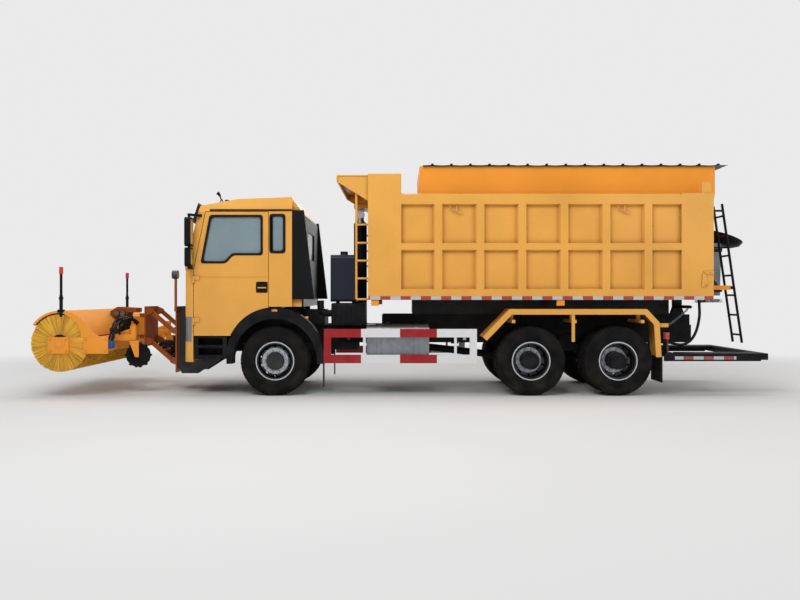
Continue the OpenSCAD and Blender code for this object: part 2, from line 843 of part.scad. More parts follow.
module cab_glass() {
  color([0.2, 0.3, 0.35, 0.5]) {
    intersection() {
      screen_prism(seat_gap, screen_half, 300);
      plate_xz([[screen_x(0) - 30, 0], [screen_x(0) - 30 + glass_t, 0],
        [screen_x(4000) - 30 + glass_t, 4000],
        [screen_x(4000) - 30, 4000]], 0, 4000);
    }
    both_sides() plate_xz([for (p = quarter_window) [p[0] + (p[0] < 0 ? seat_gap : -seat_gap),
      p[1] + (p[1] < 2500 ? seat_gap : -seat_gap)]], half_width - 20, glass_t);
    block([-cab_rear + 20, -500 + seat_gap, 2150 + seat_gap], [-cab_rear + 20 + glass_t,
      500 - seat_gap, 2600 - seat_gap]);
  }
}

lamp_z = [845, 1230];
lamp_y = [840, 1200];
corner_r = 110;

// Plan of the cab's front, its corners rounded, set in by s
module front_plan(s) {
  intersection() {
    translate([door_front_x + door_gap,
      -half_width + s]) square([cab_front_x - door_front_x - door_gap - s, 2 * (half_width - s)]);
    union() {
      translate([0, -half_width + corner_r]) square([cab_front_x - s, 2 * (half_width - corner_r)]);
      translate([0, -half_width + s]) square([cab_front_x - corner_r, 2 * (half_width - s)]);
      for (e = [-1, 1]) translate([cab_front_x - corner_r,
        e * (half_width - corner_r)]) circle(r = corner_r - s);
    }
  }
}

// Door hinges: heights of the door's barrels
hinge_heights = [1150, 1800];
door_pin_r = 10;
door_barrel_r = 20;
door_barrel_h = 60;
door_hinge = [door_front_x + door_gap / 2, half_width + 6];

// Lower barrel and pin of a door's hinge
module cab_hinge(z) {
  translate([door_hinge[0], door_hinge[1], z - 48]) cylinder(r = door_barrel_r, h = 46);
  translate([door_hinge[0], door_hinge[1], z - 48]) cylinder(r = door_pin_r, h = 46 + door_barrel_h);
  block([door_front_x + door_gap, half_width - 2, z - 48], [cab_front_x - 121, half_width + 14, z - 2]);
}

// Upper barrel of a door's hinge
module door_barrel(z) {
  difference() {
    union() {
      translate([door_hinge[0], door_hinge[1], z]) cylinder(r = door_barrel_r, h = door_barrel_h);
      block([door_front_x - 90, half_width - 2, z], [door_hinge[0] - 6, half_width + 14,
        z + door_barrel_h]);
    }
    translate([door_hinge[0], door_hinge[1], z - 1]) cylinder(r = door_pin_r + pin_fit,
      h = door_barrel_h + 2);
  }
}

grille_slots = 5;
panel_t = 45;

module cab_front() {
  panel_low = bumper_top_z + 6;
  panel_high = screen_foot_z - seat_gap;
  color("orange") difference() {
    union() {
      difference() {
        translate([0, 0, panel_low]) linear_extrude(panel_high - panel_low) difference() {
          front_plan(0);
          translate([-panel_t, 0]) front_plan(panel_t);
        }
        both_sides() for (z = hinge_heights) translate([door_hinge[0], door_hinge[1], z - 2])
          cylinder(r = door_barrel_r + 3, h = door_barrel_h + 6);
      }
      translate([0, 0, bumper_z]) linear_extrude(bumper_top_z - bumper_z) difference() {
        front_plan(0);
        translate([-panel_t, 0]) front_plan(panel_t);
      }
      block([rail_front + seat_gap, -rail_y, panel_low + 20], [cab_front_x - 20, rail_y,
        panel_low + 60]);
      block([door_front_x + seat_gap, -rail_y, panel_high - 100], [cab_front_x - 20, rail_y,
        panel_high - 40]);
      block([rail_front + seat_gap, -rail_y, bumper_z + 290], [cab_front_x - 20, rail_y,
        bumper_z + 420]);
      both_sides() for (z = hinge_heights) cab_hinge(z);
    }
    for (i = [0 : grille_slots - 1])
      block([cab_front_x - 150, -760, 1250 + i * 95], [cab_front_x + 10, 760, 1250 + i * 95 + 55]);
    for (i = [0 : 2])
      block([cab_front_x - 150, -700, bumper_z + 90 + i * 80], [cab_front_x + 10, 700,
        bumper_z + 90 + i * 80 + 45]);
    both_sides() block([cab_front_x - 120, lamp_y[0], lamp_z[0]], [cab_front_x + 50, half_width + 10,
      lamp_z[1]]);
  }
}

module lamps() {
  color("white") {
    intersection() {
      translate([0, 0,
        lamp_z[0] + seat_gap]) linear_extrude(lamp_z[1] - lamp_z[0] - 2 * seat_gap) front_plan(3);
      both_sides() block([cab_front_x - 120 + seat_gap, lamp_y[0] + seat_gap, 0], [cab_front_x + 50,
        half_width + 10, 3000]);
    }
    both_sides() {
      block([-6115, half_width - 150, 880], [-6060, half_width - 20, 985]);
      block([-6100, half_width - 58, underrun_z + underrun_h + seat_gap], [-6085, half_width - 22,
        890]);
      translate([lamp_post_x - 40, lamp_post_y, work_lamp_z]) rotate([0, 90,
        0]) cylinder(r = work_lamp_r, h = 90);
    }
  }
}

module cab_deflectors() {
  y = half_width - rear_narrow + seat_gap;
  color("black") both_sides() plate_xz([[-cab_side_end - 4, 2880], [-cab_rear - 10, 2880], [-610, 1500],
    [-cab_side_end - 4, 1500]], y + (rear_narrow - 10) / 2, rear_narrow - 10);
}

step_x = [745, door_front_x - 5];
step_z = [575, 920];

module front_fenders() {
  y = half_width - arch_depth / 2;
  color("black") both_sides() {
    slab_xz(y, arch_depth) difference() {
      union() {
        translate([0, arch_outer_z]) circle(r = arch_outer_r, $fn = 96);
        translate([-arch_outer_r, 480]) square([2 * arch_outer_r, arch_outer_z - 480]);
      }
      translate([0, axle_z]) circle(r = arch_r, $fn = 96);
      translate([-1000, -500]) square([2000, 1000]);
    }
    difference() {
      block([step_x[0] - 4, half_width - 330, step_z[0]], [step_x[1], half_width - 10, step_z[1]]);
      for (z = [step_z[0] + 60, step_z[0] + 215])
        block([step_x[0] + 60, half_width - 270, z], [step_x[1] - 60, half_width, z + 110]);
    }
    block([step_x[0] + 100, rail_y + seat_gap, rail_z + 40], [step_x[0] + 160, half_width - 329,
      rail_z + 100]);
  }
}

seat_y = 620;

module seats() {
  top = cab_floor_z + cab_wall;
  color("dimgray") both_sides() {
    block([120, seat_y - 180, top], [520, seat_y + 180, top + 280]);
    block([80, seat_y - 260, top + 279], [600, seat_y + 260, top + 420]);
    plate_xz([[80, top + 400], [220, top + 419], [60, top + 1050], [-60, top + 1050]], seat_y, 480);
    plate_xz([[-50, top + 1049], [50, top + 1049], [30, top + 1240], [-60, top + 1240]], seat_y, 280);
  }
}

module dashboard() {
  top = cab_floor_z + cab_wall;
  wheel = [900, seat_y, 2130];
  inner = half_width - door_t - door_gap - 20;
  color("black") {
    plate_xz([[940, top + 240], [door_front_x - 41, top], [door_front_x - 41, screen_foot_z + 20],
      [1150, screen_foot_z + 30], [930, screen_foot_z - 60]], 0, 2 * inner);
    rod([980, seat_y, 1850], wheel, 40);
    translate(wheel) rotate([0, -50, 0]) {
      rotate_extrude() translate([210, 0]) circle(r = 18);
      cylinder(r = 60, h = 30, center = true);
      for (a = [90, 210, 330]) rotate(a) translate([30, -15, -8]) cube([170, 30, 16]);
    }
  }
}

mirror_x = 1242;

module mirrors() {
  color("black") both_sides() {
    for (m = [[2310, 2750, 1300, 1500], [2000, 2290, 1310, 1490]])
      translate([mirror_x, 0, 0]) plate_yz([[m[2], m[0] + 30], [m[2] + 30, m[0]], [m[3] - 30, m[0]],
        [m[3], m[0] + 30],
        [m[3], m[1] - 30], [m[3] - 30, m[1]], [m[2] + 30, m[1]], [m[2], m[1] - 30]], 45, 90);
    rod([mirror_x + 40, 1400, 2280], [mirror_x + 40, 1400, 2320], 20);
    rod([mirror_x + 40, 1400, 2740], [mirror_x + 40, 1400, 2800], 20);
    translate([0, 0, 2775]) linear_extrude(36) polygon([[1120, half_width + seat_gap], [1180,
      half_width + seat_gap],
      [mirror_x + 60, 1380], [mirror_x + 60, 1420], [mirror_x + 20, 1420]]);
    rod([mirror_x + 40, 1400, 1960], [mirror_x + 40, 1400, 2010], 20);
    block([mirror_x + 20, half_width + seat_gap, 1965], [mirror_x + 60, 1420, 1995]);
  }
}

module door(side) {
  color("orange") mirror_left(side) difference() {
    slab_xz(half_width - door_t / 2, door_t) difference() {
      door_outline(0);
      door_window(0);
    }
    block([106, half_width - 18, 1600], [287, half_width + 1, 1770]);
    for (z = hinge_heights) translate([door_hinge[0], door_hinge[1], z - 60])
      cylinder(r = door_barrel_r + 2, h = door_barrel_h + 62);
  }
  color("orange") mirror_left(side) for (z = hinge_heights) door_barrel(z);
  color("black") mirror_left(side) block([120, half_width - 20, 1670], [275, half_width - 2, 1700]);
}

module door_glass(side) {
  color([0.2, 0.3, 0.35, 0.5]) mirror_left(side) slab_xz(half_width - 30, glass_t) door_window(-seat_gap);
}

module oil_tank() {
  color("midnightblue") {
    rounded_bar_x(-1250, -850, 700, 1830, 700, 740, 60);
    for (x = [-1180, -920]) block([x - 30, rail_y - 60, rail_top_z + seat_gap], [x + 30, rail_y, 1461]);
    translate([-1050, 820, 2199]) cylinder(r = 60, h = 60);
  }
}

// Bed

// Horizontal rails on a bed side: bottom, top, face proud of the plate
bed_rails = [[bed_z, bed_z + 187], [2240, 2390], [bed_top_z - 196, bed_top_z]];
bed_face = half_width + 10;
plate_y = bed_inner_y + bed_plate;
post_front = 517;
post_rear = 494;
floor_t = 60;

function rib_x(i) = -bed_front - rib_first - rib_step * i;

// Section of a pressed rib across its length: half widths at the foot and at the face
module rib_section(w) {
  polygon([[-w / 2, plate_y - 1], [-w / 2 + 35, bed_face], [w / 2 - 35, bed_face], [w / 2, plate_y - 1]]);
}

module bed_side() {
  block([-bed_rear, bed_inner_y, bed_z], [-bed_front, plate_y, bed_top_z]);
  for (r = bed_rails) plate_yz([[plate_y - 1, r[0]], [bed_face, r[0] + (r[0] > bed_z ? 25 : 0)],
    [bed_face, r[1] - 25],
    [plate_y - 1, r[1]]], -(bed_rear + bed_front) / 2, bed_rear - bed_front);
  for (i = [0 : rib_count - 1]) translate([rib_x(i), 0,
    bed_z + 20]) linear_extrude(bed_top_z - bed_z - 40) rib_section(rib_w);
  block([-bed_front - post_front, bed_inner_y, bed_z], [-bed_front, bed_face, bed_post_z]);
  block([-bed_rear, bed_inner_y, bed_z], [-bed_rear + post_rear, bed_face, bed_top_z]);
  block([-bed_rear + 40, bed_face - 40, bed_top_z - 1], [-bed_rear + 180, bed_face - 10,
    bed_top_z + 166]);
}

canopy_front = 957;
canopy_z = 3425;
hoist_eye_r = 70;
hoist_seat_gap = 8;

module bed_body() {
  recess_back = bed_front + recess_d;
  color("orange") {
    difference() {
      union() {
        both_sides() bed_side();
        block([-bed_rear, -bed_inner_y - 1, bed_z], [-bed_front, bed_inner_y + 1, bed_z + floor_t]);
        block([-bed_front - 40, -bed_inner_y - 1, bed_z], [-bed_front, bed_inner_y + 1,
          bed_post_z]);
        block([-recess_back, -recess_w / 2 - 20, bed_z], [-bed_front - 1, recess_w / 2 + 20,
          bed_post_z - 300]);
      }
      block([-recess_back + 20, -recess_w / 2, bed_z - 10], [-bed_front + 10, recess_w / 2,
        bed_post_z - 320]);
    }
    bed_canopy();
    hoist_seat();
    both_sides() block([-hinge_back + 140, rail_y - rail_flange, rail_top_z + subframe_h + 5],
      [-bed_front - 700, rail_y, bed_z + 1]);
    hinge_lug();
    translate([hose_route[0].x, hose_y, hose_route[0].z + seat_gap]) cylinder(r = hose_r + 6,
      h = bed_z + 1 - hose_route[0].z);
    both_sides() bed_step_rail();
  }
}

module bed_canopy() {
  plate_xz([[-canopy_front, canopy_z], [-bed_front - 10, canopy_z], [-bed_front - 10, canopy_z - 20],
    [-canopy_front - 20, canopy_z - 20], [-canopy_front - 20, canopy_z - 95], [-canopy_front,
      canopy_z - 95]], 0, 2 * half_width - 20);
  both_sides() plate_xz([[-canopy_front, canopy_z - 95], [-canopy_front, canopy_z], [-bed_front - 10,
    canopy_z],
    [-bed_front - 10, canopy_z - 405]], half_width - 30, 20);
}

// Saddle above and behind the hoist's eye
module hoist_seat() {
  z = hoist_eye_z + hoist_eye_r + hoist_seat_gap;
  block([-bed_front - 10, -recess_w / 2 - 10, z], [-hoist_back + 90, recess_w / 2 + 10, z + 60]);
  for (s = [-1, 1]) plate_xz([[-bed_front - 10, z + 59], [-hoist_back + 60, z + 59], [-bed_front - 10,
    z + 260]], s * 200, 24);
}

// Upright tube with rungs at the bed's front corner
module bed_step_rail() {
  x = -1262;
  y = half_width - 60;
  rod([x, y, 1500], [x, y, 3235], 18);
  for (z = [1500, 1824, 2100, 2376, 2660, 3215]) rod([x, y, z], [-bed_front - 10, y, z], 16);
}

// Lug under the bed at the hinge
module hinge_lug() {
  both_sides() difference() {
    union() {
      pin_y(-hinge_back, hinge_z, hinge_cheek_y - hinge_lug_t / 2, hinge_cheek_y + hinge_lug_t / 2,
        hinge_pin_r + 35);
      block([-hinge_back - 75, hinge_cheek_y - hinge_lug_t / 2, hinge_z], [-hinge_back + 75,
        hinge_cheek_y + hinge_lug_t / 2, bed_z + 1]);
    }
    pin_y(-hinge_back, hinge_z, hinge_cheek_y - 200, hinge_cheek_y + 200, hinge_pin_r + pin_fit);
  }
}

// Hopper

function hopper_section(s) = [
  [-hopper_y + s, hopper_top_z + (s > 0 ? 1 : 0)], [-hopper_y + s, hopper_knee_z], [-hopper_floor_y + s,
    hopper_floor_z + s],
  [hopper_floor_y - s, hopper_floor_z + s], [hopper_y - s, hopper_knee_z], [hopper_y - s,
    hopper_top_z + (s > 0 ? 1 : 0)]
];

// Rear end of the bars that carry the ladder
bar_end = 7240;
// Back of the hopper's outlet box, behind the front axle
outlet_back = 7085;

module hopper() {
  mid = -(hopper_front + hopper_rear) / 2;
  long = hopper_rear - hopper_front;
  color("orange") {
    difference() {
      plate_yz(hopper_section(0), mid, long);
      plate_yz(hopper_section(hopper_t), mid, long - 2 * hopper_t);
    }
    for (i = [0 : 4]) both_sides() {
      x = -hopper_front - 500 - 900 * i;
      plate_yz([[hopper_floor_y - 20, bed_z + floor_t + seat_gap], [hopper_y - 60,
        bed_z + floor_t + seat_gap],
        [hopper_y - 60, hopper_knee_z - 100], [hopper_y - 80, hopper_knee_z - 40],
          [hopper_floor_y + 30, hopper_floor_z + 60]], x, 60);
    }
    block([-outlet_back, -260, 1600], [-hopper_rear + 1, 260, 2070]);
    plate_xz([[-hopper_rear + 1, 2070], [-outlet_back, 2069], [-hopper_rear + 1, 2350]], 0, 520);
    both_sides() block([-bar_end, 700, 1650], [-hopper_front - 500 - 900 * 4 + 31, 760, 1720]);
  }
}

module hopper_cover() {
  x0 = -7107;
  x1 = -2300;
  half = hopper_y + 60;
  color("black") {
    block([x0, -half, hopper_top_z + seat_gap], [x1, half, hopper_top_z + seat_gap + cover_t]);
    for (i = [0 : cover_rod_count - 1])
      pin_y(x1 - 60 - i * (x1 - x0 - 120) / (cover_rod_count - 1), hopper_top_z + cover_t, -half,
        half, cover_rod_r);
  }
}

// Chute walls from the hopper's outlet down over the spinner disc, open at both ends
chute_half = 150;
chute_foot_front = 70;
chute_wall = 20;
chute_w = 360;
chute_top_z = 2450;
chute_knee_z = 2350;
chute_foot_z = 1560;
chute_bar_z = 1600;
chute_bar_h = 60;

// X of the chute's front wall at a height, measured from the spinner's axis
function chute_front(z) =
  chute_foot_front + (chute_half - chute_foot_front) * (z - chute_foot_z) / (chute_knee_z - chute_foot_z);

// The chute's outline, moved in by a wall and run past its ends by a margin
module chute_section(inset, past, width) {
  plate_xz([
    [chute_front(chute_knee_z) - inset, chute_knee_z],
    [chute_half - 20 - inset, chute_top_z + past],
    [inset - chute_half, chute_top_z + past],
    [inset - chute_half + 20, chute_foot_z - past],
    [chute_front(chute_foot_z - past) - inset, chute_foot_z - past]
  ], 0, width);
}

module spreader_chute() {
  bracket_low = 1700;
  bracket_high = 2040;
  seat_x = spinner_back - outlet_back - seat_gap;
  color("dimgray") translate([-spinner_back, -spinner_right, 0]) {
    difference() {
      chute_section(0, 0, chute_w);
      chute_section(chute_wall, 60, chute_w - 2 * chute_wall);
    }
    plate_xz([
      [chute_front(bracket_low) - chute_wall / 2, bracket_low],
      [seat_x, bracket_low],
      [seat_x, bracket_high],
      [chute_front(bracket_high) - chute_wall / 2, bracket_high]
    ], 30, 180);
    difference() {
      block([-50, -chute_w / 2 + chute_wall / 2, chute_bar_z], [40, chute_w / 2 - chute_wall / 2,
        chute_bar_z + chute_bar_h]);
      translate([0, 0, chute_foot_z]) cylinder(r = spinner_shaft_r + pin_fit, h = 300);
    }
  }
}

module spinner() {
  color("silver") translate([-spinner_back, -spinner_right, 0]) {
    translate([0, 0, spinner_z]) cylinder(r = spinner_r, h = 12);
    translate([0, 0, spinner_z]) cylinder(r = 45, h = 70);
    translate([0, 0, spinner_z]) cylinder(r = spinner_shaft_r,
      h = chute_bar_z + chute_bar_h + 15 - spinner_z);
    translate([0, 0, chute_bar_z + chute_bar_h + seat_gap]) cylinder(r = 34, h = 20);
    for (i = [0 : vane_count - 1]) rotate(360 / vane_count * i)
      translate([40, -4, spinner_z + 11]) cube([spinner_r - 45, 8, 50]);
  }
}

module rear_ladder() {
  foot = [-ladder_foot_back, ladder_foot_z];
  top = [-ladder_top_back, ladder_top_z];
  color("black") {
    for (s = [-1, 1]) rod([foot[0], ladder_y + s * ladder_w / 2, foot[1]], [top[0],
      ladder_y + s * ladder_w / 2, top[1]], 20);
    for (i = [0 : rung_count - 1]) {
      t = (i + 0.4) / rung_count;
      p = foot + (top - foot) * t;
      pin_y(p[0], p[1], ladder_y - ladder_w / 2, ladder_y + ladder_w / 2, 16);
    }
    for (s = [-1, 1]) {
      p = foot + (top - foot) * 0.95;
      block([p[0], ladder_y + s * ladder_w / 2 - 15, p[1] - 15], [-hopper_rear - seat_gap,
        ladder_y + s * ladder_w / 2 + 15, p[1] + 15]);
    }
    block([-bar_end - 75, ladder_y + ladder_w / 2 - 25, 1660], [-bar_end - seat_gap,
      ladder_y + ladder_w / 2 + 10, 1710]);
  }
}

// Hoist

barrel_top_z = hoist_eye_z - 90;

module hoist_tube(outer, inner, low, high) {
  difference() {
    translate([-hoist_back, 0, low]) cylinder(r = outer, h = high - low);
    translate([-hoist_back, 0, low + 30]) cylinder(r = inner, h = high - low);
  }
}

module hoist_barrel() {
  color("black") difference() {
    union() {
      hoist_tube(barrel_r, barrel_r - stage_step + stage_fit, hoist_foot_z + 60, barrel_top_z - 60);
      pin_y(-hoist_back, hoist_foot_z, -barrel_r, barrel_r, 75);
      translate([-hoist_back, 0, hoist_foot_z]) cylinder(r = 75, h = 70);
    }
    pin_y(-hoist_back, hoist_foot_z, -barrel_r - 10, barrel_r + 10, hoist_pin_r + pin_fit);
  }
}

// Radius of a stage's tube, and its top above the one before
function stage_r(i) = barrel_r - stage_step * i;

module hoist_stage(i) {
  low = hoist_foot_z + 100 + 40 * i;
  color("silver") hoist_tube(stage_r(i), stage_r(i) - stage_step + stage_fit, low,
    barrel_top_z - 60 + 20 * i);
}

module hoist_rod() {
  color("silver") {
    translate([-hoist_back, 0, hoist_foot_z + 220]) cylinder(r = stage_r(3),
      h = hoist_eye_z - hoist_foot_z - 240);
    pin_y(-hoist_back, hoist_eye_z, -80, 80, hoist_eye_r);
  }
}

// Hitch and broom

hitch_plate_t = 40;
hitch_y = 385;
cheek_t = 20;
cheek_y = link_w / 2 + 2 + cheek_t / 2;

// A pair of cheeks with a pin, about the link at y
module link_cheeks(x, z, back, tall) {
  for (s = [-1, 1]) {
    plate_xz([[x - back, z - tall / 2], [x, z - 45], [x + 40, z - 20], [x + 40, z + 20], [x, z + 45],
      [x - back, z + tall / 2]],
      link_y + s * cheek_y, cheek_t);
  }
  pin_y(x, z, link_y - cheek_y - cheek_t / 2, link_y + cheek_y + cheek_t / 2, link_pin_r);
}

lamp_post_y = 520;
lamp_post_x = link_x - 100;
work_lamp_z = 1900;
work_lamp_r = 70;

module hitch_frame() {
  face = link_x - 90;
  color("darkorange") {
    both_sides() {
      plate_xz([[850, rail_z - seat_gap], [rail_front - 5, rail_z - seat_gap], [rail_front - 5,
        bumper_z - 18],
        [cab_front_x + 35, bumper_z - 18], [cab_front_x + 35, 1000], [1560, 1383], [face - 20,
          1383],
        [face - 20, 420], [face - 80, 280], [cab_front_x - 20, 280], [850, 620]], hitch_y,
          hitch_plate_t);
      for (z = [link_z, link_z + link_rise]) link_cheeks(link_x, z, 91, 150);
      rod([lamp_post_x, lamp_post_y, 1300], [lamp_post_x, lamp_post_y,
        work_lamp_z - work_lamp_r - seat_gap], 22);
      block([face - 30, hitch_y, 1310], [face + 10, lamp_post_y + 22, 1350]);
    }
    block([face - 21, -hitch_y - 115, 300], [face, hitch_y + 115, 1383]);
    block([1575, -hitch_y, 1040], [face - 20, hitch_y, 1070]);
  }
}

// A link from its rear pin to its front one
module link_bar() {
  slab_xz(0, link_w) difference() {
    union() {
      circle(r = link_r);
      translate([link_reach, link_up]) circle(r = link_r);
      rotate(atan2(link_up, link_reach)) translate([0, -link_r * 0.75])
        square([norm([link_reach, link_up]), link_r * 1.5]);
    }
    circle(r = link_pin_r + pin_fit);
    translate([link_reach, link_up]) circle(r = link_pin_r + pin_fit);
  }
}

module lift_arms() {
  mid = [link_x + link_reach / 2, link_z + link_up / 2];
  color("darkorange") {
    both_sides() translate([link_x, link_y, link_z]) link_bar();
    pin_y(mid[0], mid[1], -link_y, link_y, 28);
  }
}

module upper_links() {
  color("darkorange") both_sides() translate([link_x, link_y, link_z + link_rise]) link_bar();
}

swing_low = carriage_z + 45;
swing_high = carriage_z + link_rise - 45;
lug_t = 50;

module broom_carriage() {
  plate_x = carriage_x + 70;
  color("darkorange") difference() {
    union() {
      both_sides() for (z = [carriage_z, carriage_z + link_rise])
        mirror([1, 0, 0]) translate([-2 * carriage_x, 0, 0]) link_cheeks(carriage_x, z, 71, 150);
      block([plate_x, -link_y - 60, carriage_z - 80], [plate_x + 20, link_y + 60,
        carriage_z + link_rise + 80]);
      for (z = [swing_low, swing_high - lug_t]) {
        block([plate_x + 10, -90, z], [swing_x, 90, z + lug_t]);
        translate([swing_x, 0, z]) cylinder(r = 90, h = lug_t);
      }
    }
    translate([swing_x, 0, 0]) cylinder(r = swing_pin_r + pin_fit, h = 3000);
  }
}

beam_x = [2555, 2690];
arm_rear = 2470;
beam_z = [700, 930];
arm_y = brush_len / 2 + arm_gap;

module hood() {
  slab_xz(0, 2 * arm_y + 2) translate([brush_x, brush_z]) intersection() {
    difference() {
      circle(r = hood_r + hood_t, $fn = 96);
      circle(r = hood_r, $fn = 96);
    }
    polygon([[0, 0], 900 * [cos(hood_front_deg), sin(hood_front_deg)], [600, 1200], [-900, 1200],
      900 * [cos(hood_rear_deg), sin(hood_rear_deg)]]);
  }
  both_sides() slab_xz(arm_y + arm_t / 2, arm_t) translate([brush_x, brush_z]) intersection() {
    circle(r = hood_r + hood_t, $fn = 96);
    polygon([[0, 0], 900 * [cos(hood_front_deg), sin(hood_front_deg)], [600, 1200], [-900, 1200],
      900 * [cos(hood_rear_deg), sin(hood_rear_deg)]]);
  }
}

module broom_frame() {
  barrel_low = swing_low + lug_t + 4;
  barrel_high = swing_high - lug_t - 4;
  color("darkorange") difference() {
    union() {
      hood();
      both_sides() {
        block([arm_rear, arm_y, 676], [3380, arm_y + arm_t, beam_z[1]]);
        block([caster_x, caster_y - 50, 850], [beam_x[0] + 60, caster_y + 50, 950]);
        translate([caster_x, caster_y, 850]) cylinder(r = 50, h = 230);
        rod([brush_x - 20, arm_y + arm_t / 2, brush_z + 400], [brush_x - 20, arm_y + arm_t / 2,
          1990], 15);
      }
      block([beam_x[0], -arm_y - 1, beam_z[0]], [beam_x[1], arm_y + 1, beam_z[1]]);
      translate([swing_x, 0, swing_low - 10]) cylinder(r = swing_pin_r,
        h = swing_high - swing_low + 20);
      translate([swing_x, 0, barrel_low]) cylinder(r = 75, h = barrel_high - barrel_low);
      plate_xz([[swing_x, barrel_low], [swing_x + 110, barrel_low], [beam_x[0] + 20,
        beam_z[0] + 20], [beam_x[1], beam_z[1]], [2735, 1000], [2735, 1130],
        [2640, barrel_high], [swing_x, barrel_high]], 0, 120);
    }
    both_sides() pin_y(brush_x, brush_z, arm_y - 10, arm_y + arm_t + 10, brush_shaft_r + pin_fit);
    both_sides() translate([caster_x, caster_y, 800]) cylinder(r = caster_stem_r + pin_fit, h = 400);
    pin_y(brush_x, brush_z, -arm_y + 5, arm_y - 5, hood_r);
  }
}

// Bristle rings, as a saw-edged section: place along the brush, radius
ring_step = brush_len / ring_count;
ring_notch = 150;

module brush() {
  color("gold") translate([brush_x, -brush_len / 2, brush_z]) rotate([-90, 0, 0]) {
    rotate_extrude() polygon(concat([[0, 0]], [for (i = [0 : ring_count - 1]) each
      [[brush_r - ring_notch, ring_step * (i + (i == 0 ? 0 : 0.02))], [brush_r,
        ring_step * (i + 0.25)],
      [brush_r, ring_step * (i + 0.75)], [brush_r - ring_notch,
        ring_step * (i + (i == ring_count - 1 ? 1 : 0.98))]]],
      [[0, brush_len]]));
    translate([0, 0, -arm_gap - arm_t + 5]) cylinder(r = brush_shaft_r,
      h = brush_len + 2 * (arm_gap + arm_t - 5));
  }
}

caster_axle_r = 16;
fork_gap = 10;

module caster_fork(side) {
  inner = caster_w / 2 + fork_gap;
  crown_z = caster_z + caster_r + 12;
  color("gold") mirror_left(side) translate([caster_x, caster_y, 0]) {
    translate([0, 0, crown_z]) cylinder(r = caster_stem_r, h = 1100 - crown_z);
    translate([0, 0, 1080 + seat_gap]) cylinder(r = 38, h = 22);
    block([-caster_trail - 30, -inner - 14, crown_z], [45, inner + 14, crown_z + 14]);
    for (s = [-1, 1]) plate_xz([[-caster_trail - 28, caster_z - 28], [-caster_trail + 28,
      caster_z - 28], [40, crown_z + 1],
      [-caster_trail - 28, crown_z + 1]], s * (inner + 7), 14);
    pin_y(-caster_trail, caster_z, -inner - 14, inner + 14, caster_axle_r);
  }
}

module caster_wheel(side) {
  lug_h = 18;
  color("dimgray") mirror_left(side) translate([caster_x - caster_trail, caster_y,
    caster_z]) rotate([90, 0, 0]) difference() {
    union() {
      cylinder(r = caster_r - lug_h, h = caster_w - 20, center = true);
      for (i = [0 : caster_lugs - 1]) rotate(360 / caster_lugs * i)
        translate([caster_r - lug_h - 8, -16, i % 2 == 0 ? -caster_w / 2 : 0]) cube([lug_h + 7,
          32, caster_w / 2]);
    }
    cylinder(r = caster_axle_r + pin_fit, h = caster_w + 20, center = true);
    for (s = [-1, 1]) translate([0, 0, s * (caster_w / 2)]) cylinder(r = 105, h = 50, center = true);
  }
}

// Chain and hose at the rear

// Bar behind the hinge that carries the chain: place along the vehicle and height
chain_bar = [-6447, 1380];
chain_bar_r = 25;
chain_slope = -40;
chain_links = 12;
chain_dir = [cos(chain_slope), 0, sin(chain_slope)];
chain_from = [chain_bar[0], half_width - 60, chain_bar[1]] + (chain_bar_r + chain_wire + 2.3) * chain_dir;
chain_play = 3.5;
chain_span = chain_links * (chain_pitch - chain_play);
chain_to = chain_from + chain_span * chain_dir;
chain_lug_x = chain_to.x + chain_wire + 3.3;
// The chain sags square to its line
chain_down = [sin(chain_slope), 0, -cos(chain_slope)];

function chain_point(t) = chain_from + (chain_to - chain_from) * t + 4 * chain_sag * t * (1 - t) * chain_down;

// A long link about its middle, its length along x
module chain_link() {
  w = chain_wire;
  inner = chain_pitch;
  linear_extrude(w, center = true) difference() {
    union() {
      square([inner - 2 * w, 4 * w - 2], center = true);
      for (s = [-1, 1]) translate([s * (inner / 2 - w + 1), 0]) circle(r = 2 * w - 1, $fn = 16);
    }
    square([inner - 2 * w, 2 * w - 2 + 2 * 0.6], center = true);
    for (s = [-1, 1]) translate([s * (inner / 2 - w + 0.4), 0]) circle(r = w - 0.4, $fn = 16);
  }
}

module tie_chain() {
  color("dimgray") for (i = [0 : chain_links - 1]) {
    t = (i + 0.5) / chain_links;
    d = chain_point(t + 0.01) - chain_point(t - 0.01);
    translate(chain_point(t)) rotate([0, -atan2(d.z, d.x), 0]) rotate([90 * (i % 2), 0,
      0]) chain_link();
  }
}

hose_r = 22;
hose_y = 1000;
// Route of the hose from the bed to the chassis: place along the vehicle and height
hose_places = [
  [-6655, 1440], [-6655, 1400], [-6658, 1350], [-6660, 1300], [-6658, 1240], [-6650, 1180], [-6640, 1120],
  [-6625, 1060], [-6607, 1000], [-6585, 950], [-6557, 900], [-6525, 860], [-6490, 829], [-6450, 805],
  [-6405, 790], [-6360, 785], [-6315, 788], [-6270, 796], [-6230, 808], [-6190, 815], [-6145, 815]
];
hose_route = [for (p = hose_places) [p[0], hose_y, p[1]]];
hose_end_x = hose_route[len(hose_route) - 1].x;
hose_sides = 10;

function hose_dir(i) = hose_route[min(i + 1, len(hose_route) - 1)] - hose_route[max(i - 1, 0)];

// Rings lie across the route, which stays in one upright plane
function hose_ring(i) = [for (k = [0 : hose_sides - 1]) let (d = hose_dir(i) / norm(hose_dir(i)),
  a = 360 / hose_sides * k)
  hose_route[i] + hose_r * ([0, 1, 0] * cos(a) + [-d.z, 0, d.x] * sin(a))];

